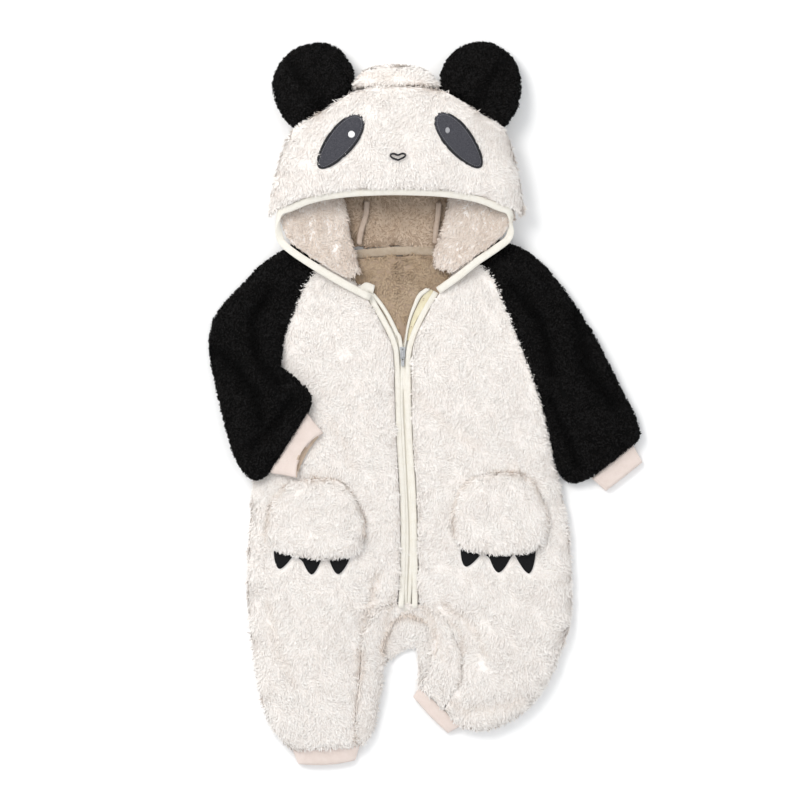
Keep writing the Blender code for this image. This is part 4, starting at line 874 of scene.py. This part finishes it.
# Stitching along the bands and the hood's binding.
seams = []
for offset in (1.4, -1.4):
    plan = shifted(photo_curve(BINDING, 1.2 * MM), offset * MM)
    spots = [trees["hood_binding"].find_nearest(Vector((x, y, 0.040))) for x, y in plan]
    seams += dashes(np.array([tuple(s[0]) for s in spots]), np.array([tuple(s[1]) for s in spots]))
BANDS = {
    "zip_band_left": [(369.7, 296.3), (378.8, 312.4), (388.9, 330.8), (394.1, 344), (396.7, 358.5),
                      (397.8, 400.4), (399.2, 440.4), (401.8, 480.4), (403.2, 520.4), (403, 560.4),
                      (401.7, 590.4), (400.9, 606.5)],
    "zip_band_right": [(436, 292.2), (424.1, 312.2), (415, 330.8), (410.6, 344), (408.1, 358.5),
                       (408.3, 400.4), (409.6, 440.4), (412.4, 480.4), (414, 520.4), (414.9, 560.4),
                       (415, 590.4), (414.5, 606.5)],
}
for node, route in BANDS.items():
    for offset in (2.2, -2.2):
        path = shifted(photo_curve(route, 1.2 * MM), offset * MM)
        seams += dashes(*drop_on([trees[node]], path, 0.1 * MM))
band_stitches = joined("band_stitches", seams, THREAD)

# Eyes: a dark satin rim round each patch, a row of pale stitches inside it, and a glint.
# Centre x and y, half length and half width in mm, and the tilt in degrees.
EYES = {"eye_left": (-94.5, 285.5, 36, 14.5, -39), "eye_right": (35.5, 287, 37, 14.5, 39)}


def egg(x, y, long, wide, tilt):
    """Closed outline of a patch, whose wide end is the upper one."""
    turn = math.radians(tilt)
    a = np.linspace(0, 2 * math.pi, 60, endpoint=False)
    along, across = long * np.cos(a), wide * np.sin(a) * (1 + 0.18 * np.cos(a))
    outline = np.column_stack([x - along * math.sin(turn) + across * math.cos(turn),
                               y + along * math.cos(turn) + across * math.sin(turn)]) * MM
    return np.vstack([outline, outline[:1]])


def satin(name, plan, carriers, wide, high, lift=0.1 * MM):
    """Satin stitch: short slanting threads side by side across a line."""
    step, lean = 0.55 * MM, 0.35
    points, normals = drop_on(carriers, curve(plan, step), lift)
    along = unit(np.gradient(points, axis=0))
    side = np.cross(along, normals)
    parts = []
    for p, t, s, n in zip(points, along, side, normals):
        way = s + t * lean
        thread = np.array([p + way * wide / 2 * k + n * high * (1 - k * k) for k in (-1, -0.5, 0, 0.5, 1)])
        parts.append(sweep(thread, np.tile(n, (5, 1)), step * 1.25, step, 5, (0.7, 1, 1, 1, 0.7)))
    return joined(name, parts, DARK_THREAD)


for name, (x, y, long, wide, tilt) in EYES.items():
    rim = egg(x, y, long - 0.4, wide - 0.4, tilt)
    satin(name + "_rim", rim, [trees[name], trees["hood_front"]], 2.6 * MM, 0.5 * MM)
    inner = curve(egg(x, y, long - 2.6, wide - 2.6, tilt), 1.0 * MM)
    stitches = dashes(*drop_on([trees[name]], inner, 0.1 * MM), 1.6 * MM, 0.5 * MM, 0.4 * MM)
    joined(name + "_line", stitches, PALE_THREAD)
NOSE = [(398, 162.2), (394, 160.8), (390.8, 158.6), (391.2, 156.6), (394.4, 156.2), (398, 157.6),
        (401.6, 156.2), (404.8, 156.6), (405.2, 158.6), (402, 160.8), (398, 162.2)]
satin("nose", [place(*pixel) for pixel in NOSE], [trees["hood_front"]], 2.1 * MM, 0.9 * MM,
                        4.2 * MM)
# Glints: rows of thread that fill an oval, its half length and half width in mm.
for name, centre, long, wide, mat in (("glint_left", (352, 137), 3.9, 3.7, WHITE_THREAD),
                                      ("glint_right", (447, 133), 3.4, 2.4, DIM_THREAD)):
    x, y = place(*centre)
    parts = []
    for k in np.arange(-wide, wide + 0.01, 0.5):
        reach = long * math.sqrt(max(0, 1 - (k / wide) ** 2)) * MM
        if reach < 0.4 * MM:
            continue
        plan = np.column_stack([np.full(7, x + k * MM), y + np.linspace(-reach, reach, 7)])
        points, normals = drop_on([trees["eye_left"], trees["eye_right"]], plan, 0.35 * MM)
        parts.append(sweep(points, normals, 0.62 * MM, 0.6 * MM, 6, (0.5, 0.9, 1, 1, 1, 0.9, 0.5)))
    joined(name, parts, mat)

# Seam allowances of the hood's centre strip, where they show inside the hood.
ridges = []
for route in ([(367, 201), (366, 215), (361, 232), (359, 245)],
              [(439, 202), (438, 215), (436, 232), (435, 244)]):
    points, normals = drop_on([trees["hood_centre"]], photo_curve(route, 1.5 * MM), 0.5 * MM)
    ridges.append(tube(points, normals, 6.0 * MM, 3.0 * MM))
seam_ridges = joined("seam_ridges", ridges, SEAM)


# The cap of the press stud by the left leg's cuff: radius and height of each ring, as shares.
STUD = ((0.92, -0.1), (1.0, 0.3), (1.0, 0.55), (0.86, 0.82), (0.5, 0.92), (0.25, 0.8))
STUD_RADIUS, STUD_HEIGHT, STUD_SIDES = 3.1 * MM, 3.0 * MM, 20


def dome(carriers, plan):
    """Points and faces of a low round button on what carries it."""
    (base,), (up,) = drop_on(carriers, [plan])
    across = unit(np.cross([up], [(0.0, 1.0, 0.0)]))[0]
    along = np.cross(up, across)
    verts = [base + STUD_RADIUS * r * (math.cos(t) * across + math.sin(t) * along) + up * STUD_HEIGHT * h
             for r, h in STUD for t in np.linspace(0, 2 * math.pi, STUD_SIDES, endpoint=False)]
    sides, last = STUD_SIDES, (len(STUD) - 1) * STUD_SIDES
    faces = [(r + k, r + (k + 1) % sides, r + sides + (k + 1) % sides, r + sides + k)
             for r in range(0, last, sides) for k in range(sides)]
    return np.array(verts), faces + [tuple(reversed(range(sides))), tuple(range(last, last + sides))]


stud = joined("leg_snap", [dome([trees["placket_front"], trees["leg_cuff_left"]], place(352, 743.5))], SNAP)

FLOOR_REACH, FLOOR_GAP = 4, 0.8 * MM
floor_mesh = bpy.data.meshes.new("floor")
floor_mesh.from_pydata([(x * FLOOR_REACH, y * FLOOR_REACH, -FLOOR_GAP)
                        for x, y in ((-1, -1), (1, -1), (1, 1), (-1, 1))], [], [(0, 1, 2, 3)])
FLOOR = new_material("floor", (0.96, 0.96, 0.96), 0.9)
mottled(FLOOR, (0.955, 0.955, 0.955), (0.965, 0.965, 0.965), 4.0)
floor_mesh.materials.append(FLOOR)
floor = bpy.data.objects.new("floor", floor_mesh)
bpy.context.scene.collection.objects.link(floor)

world = bpy.data.worlds.new("studio")
bpy.context.scene.world = world
world.use_nodes = True
world.node_tree.nodes["Background"].inputs["Color"].default_value = (0.97, 0.985, 1.0, 1)
world.node_tree.nodes["Background"].inputs["Strength"].default_value = 0.965
key = bpy.data.lights.new("key", "AREA")
key.shape, key.size, key.energy, key.color = "DISK", 1.2, 31, (1.0, 0.975, 0.945)
lamp = bpy.data.objects.new("key", key)
lamp.location = (-1.1, 1.2, 2.0)
lamp.rotation_euler = (-lamp.location).to_track_quat("-Z", "Y").to_euler()
bpy.context.scene.collection.objects.link(lamp)
bpy.context.scene.view_settings.view_transform = "Standard"

camera_data = bpy.data.cameras.new("camera")
camera_data.sensor_width = 36
camera_data.lens = 36 * CAMERA_HEIGHT / PHOTO_SPAN
camera_data.clip_end = 50
camera = bpy.data.objects.new("camera", camera_data)
camera.location = (*place(PHOTO_SIDE / 2, PHOTO_SIDE / 2), CAMERA_HEIGHT)
bpy.context.scene.collection.objects.link(camera)
bpy.context.scene.camera = camera

for name, (wide, long, area, held, under) in CLOTH.items():
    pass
for name, fill in STUFFED.items():
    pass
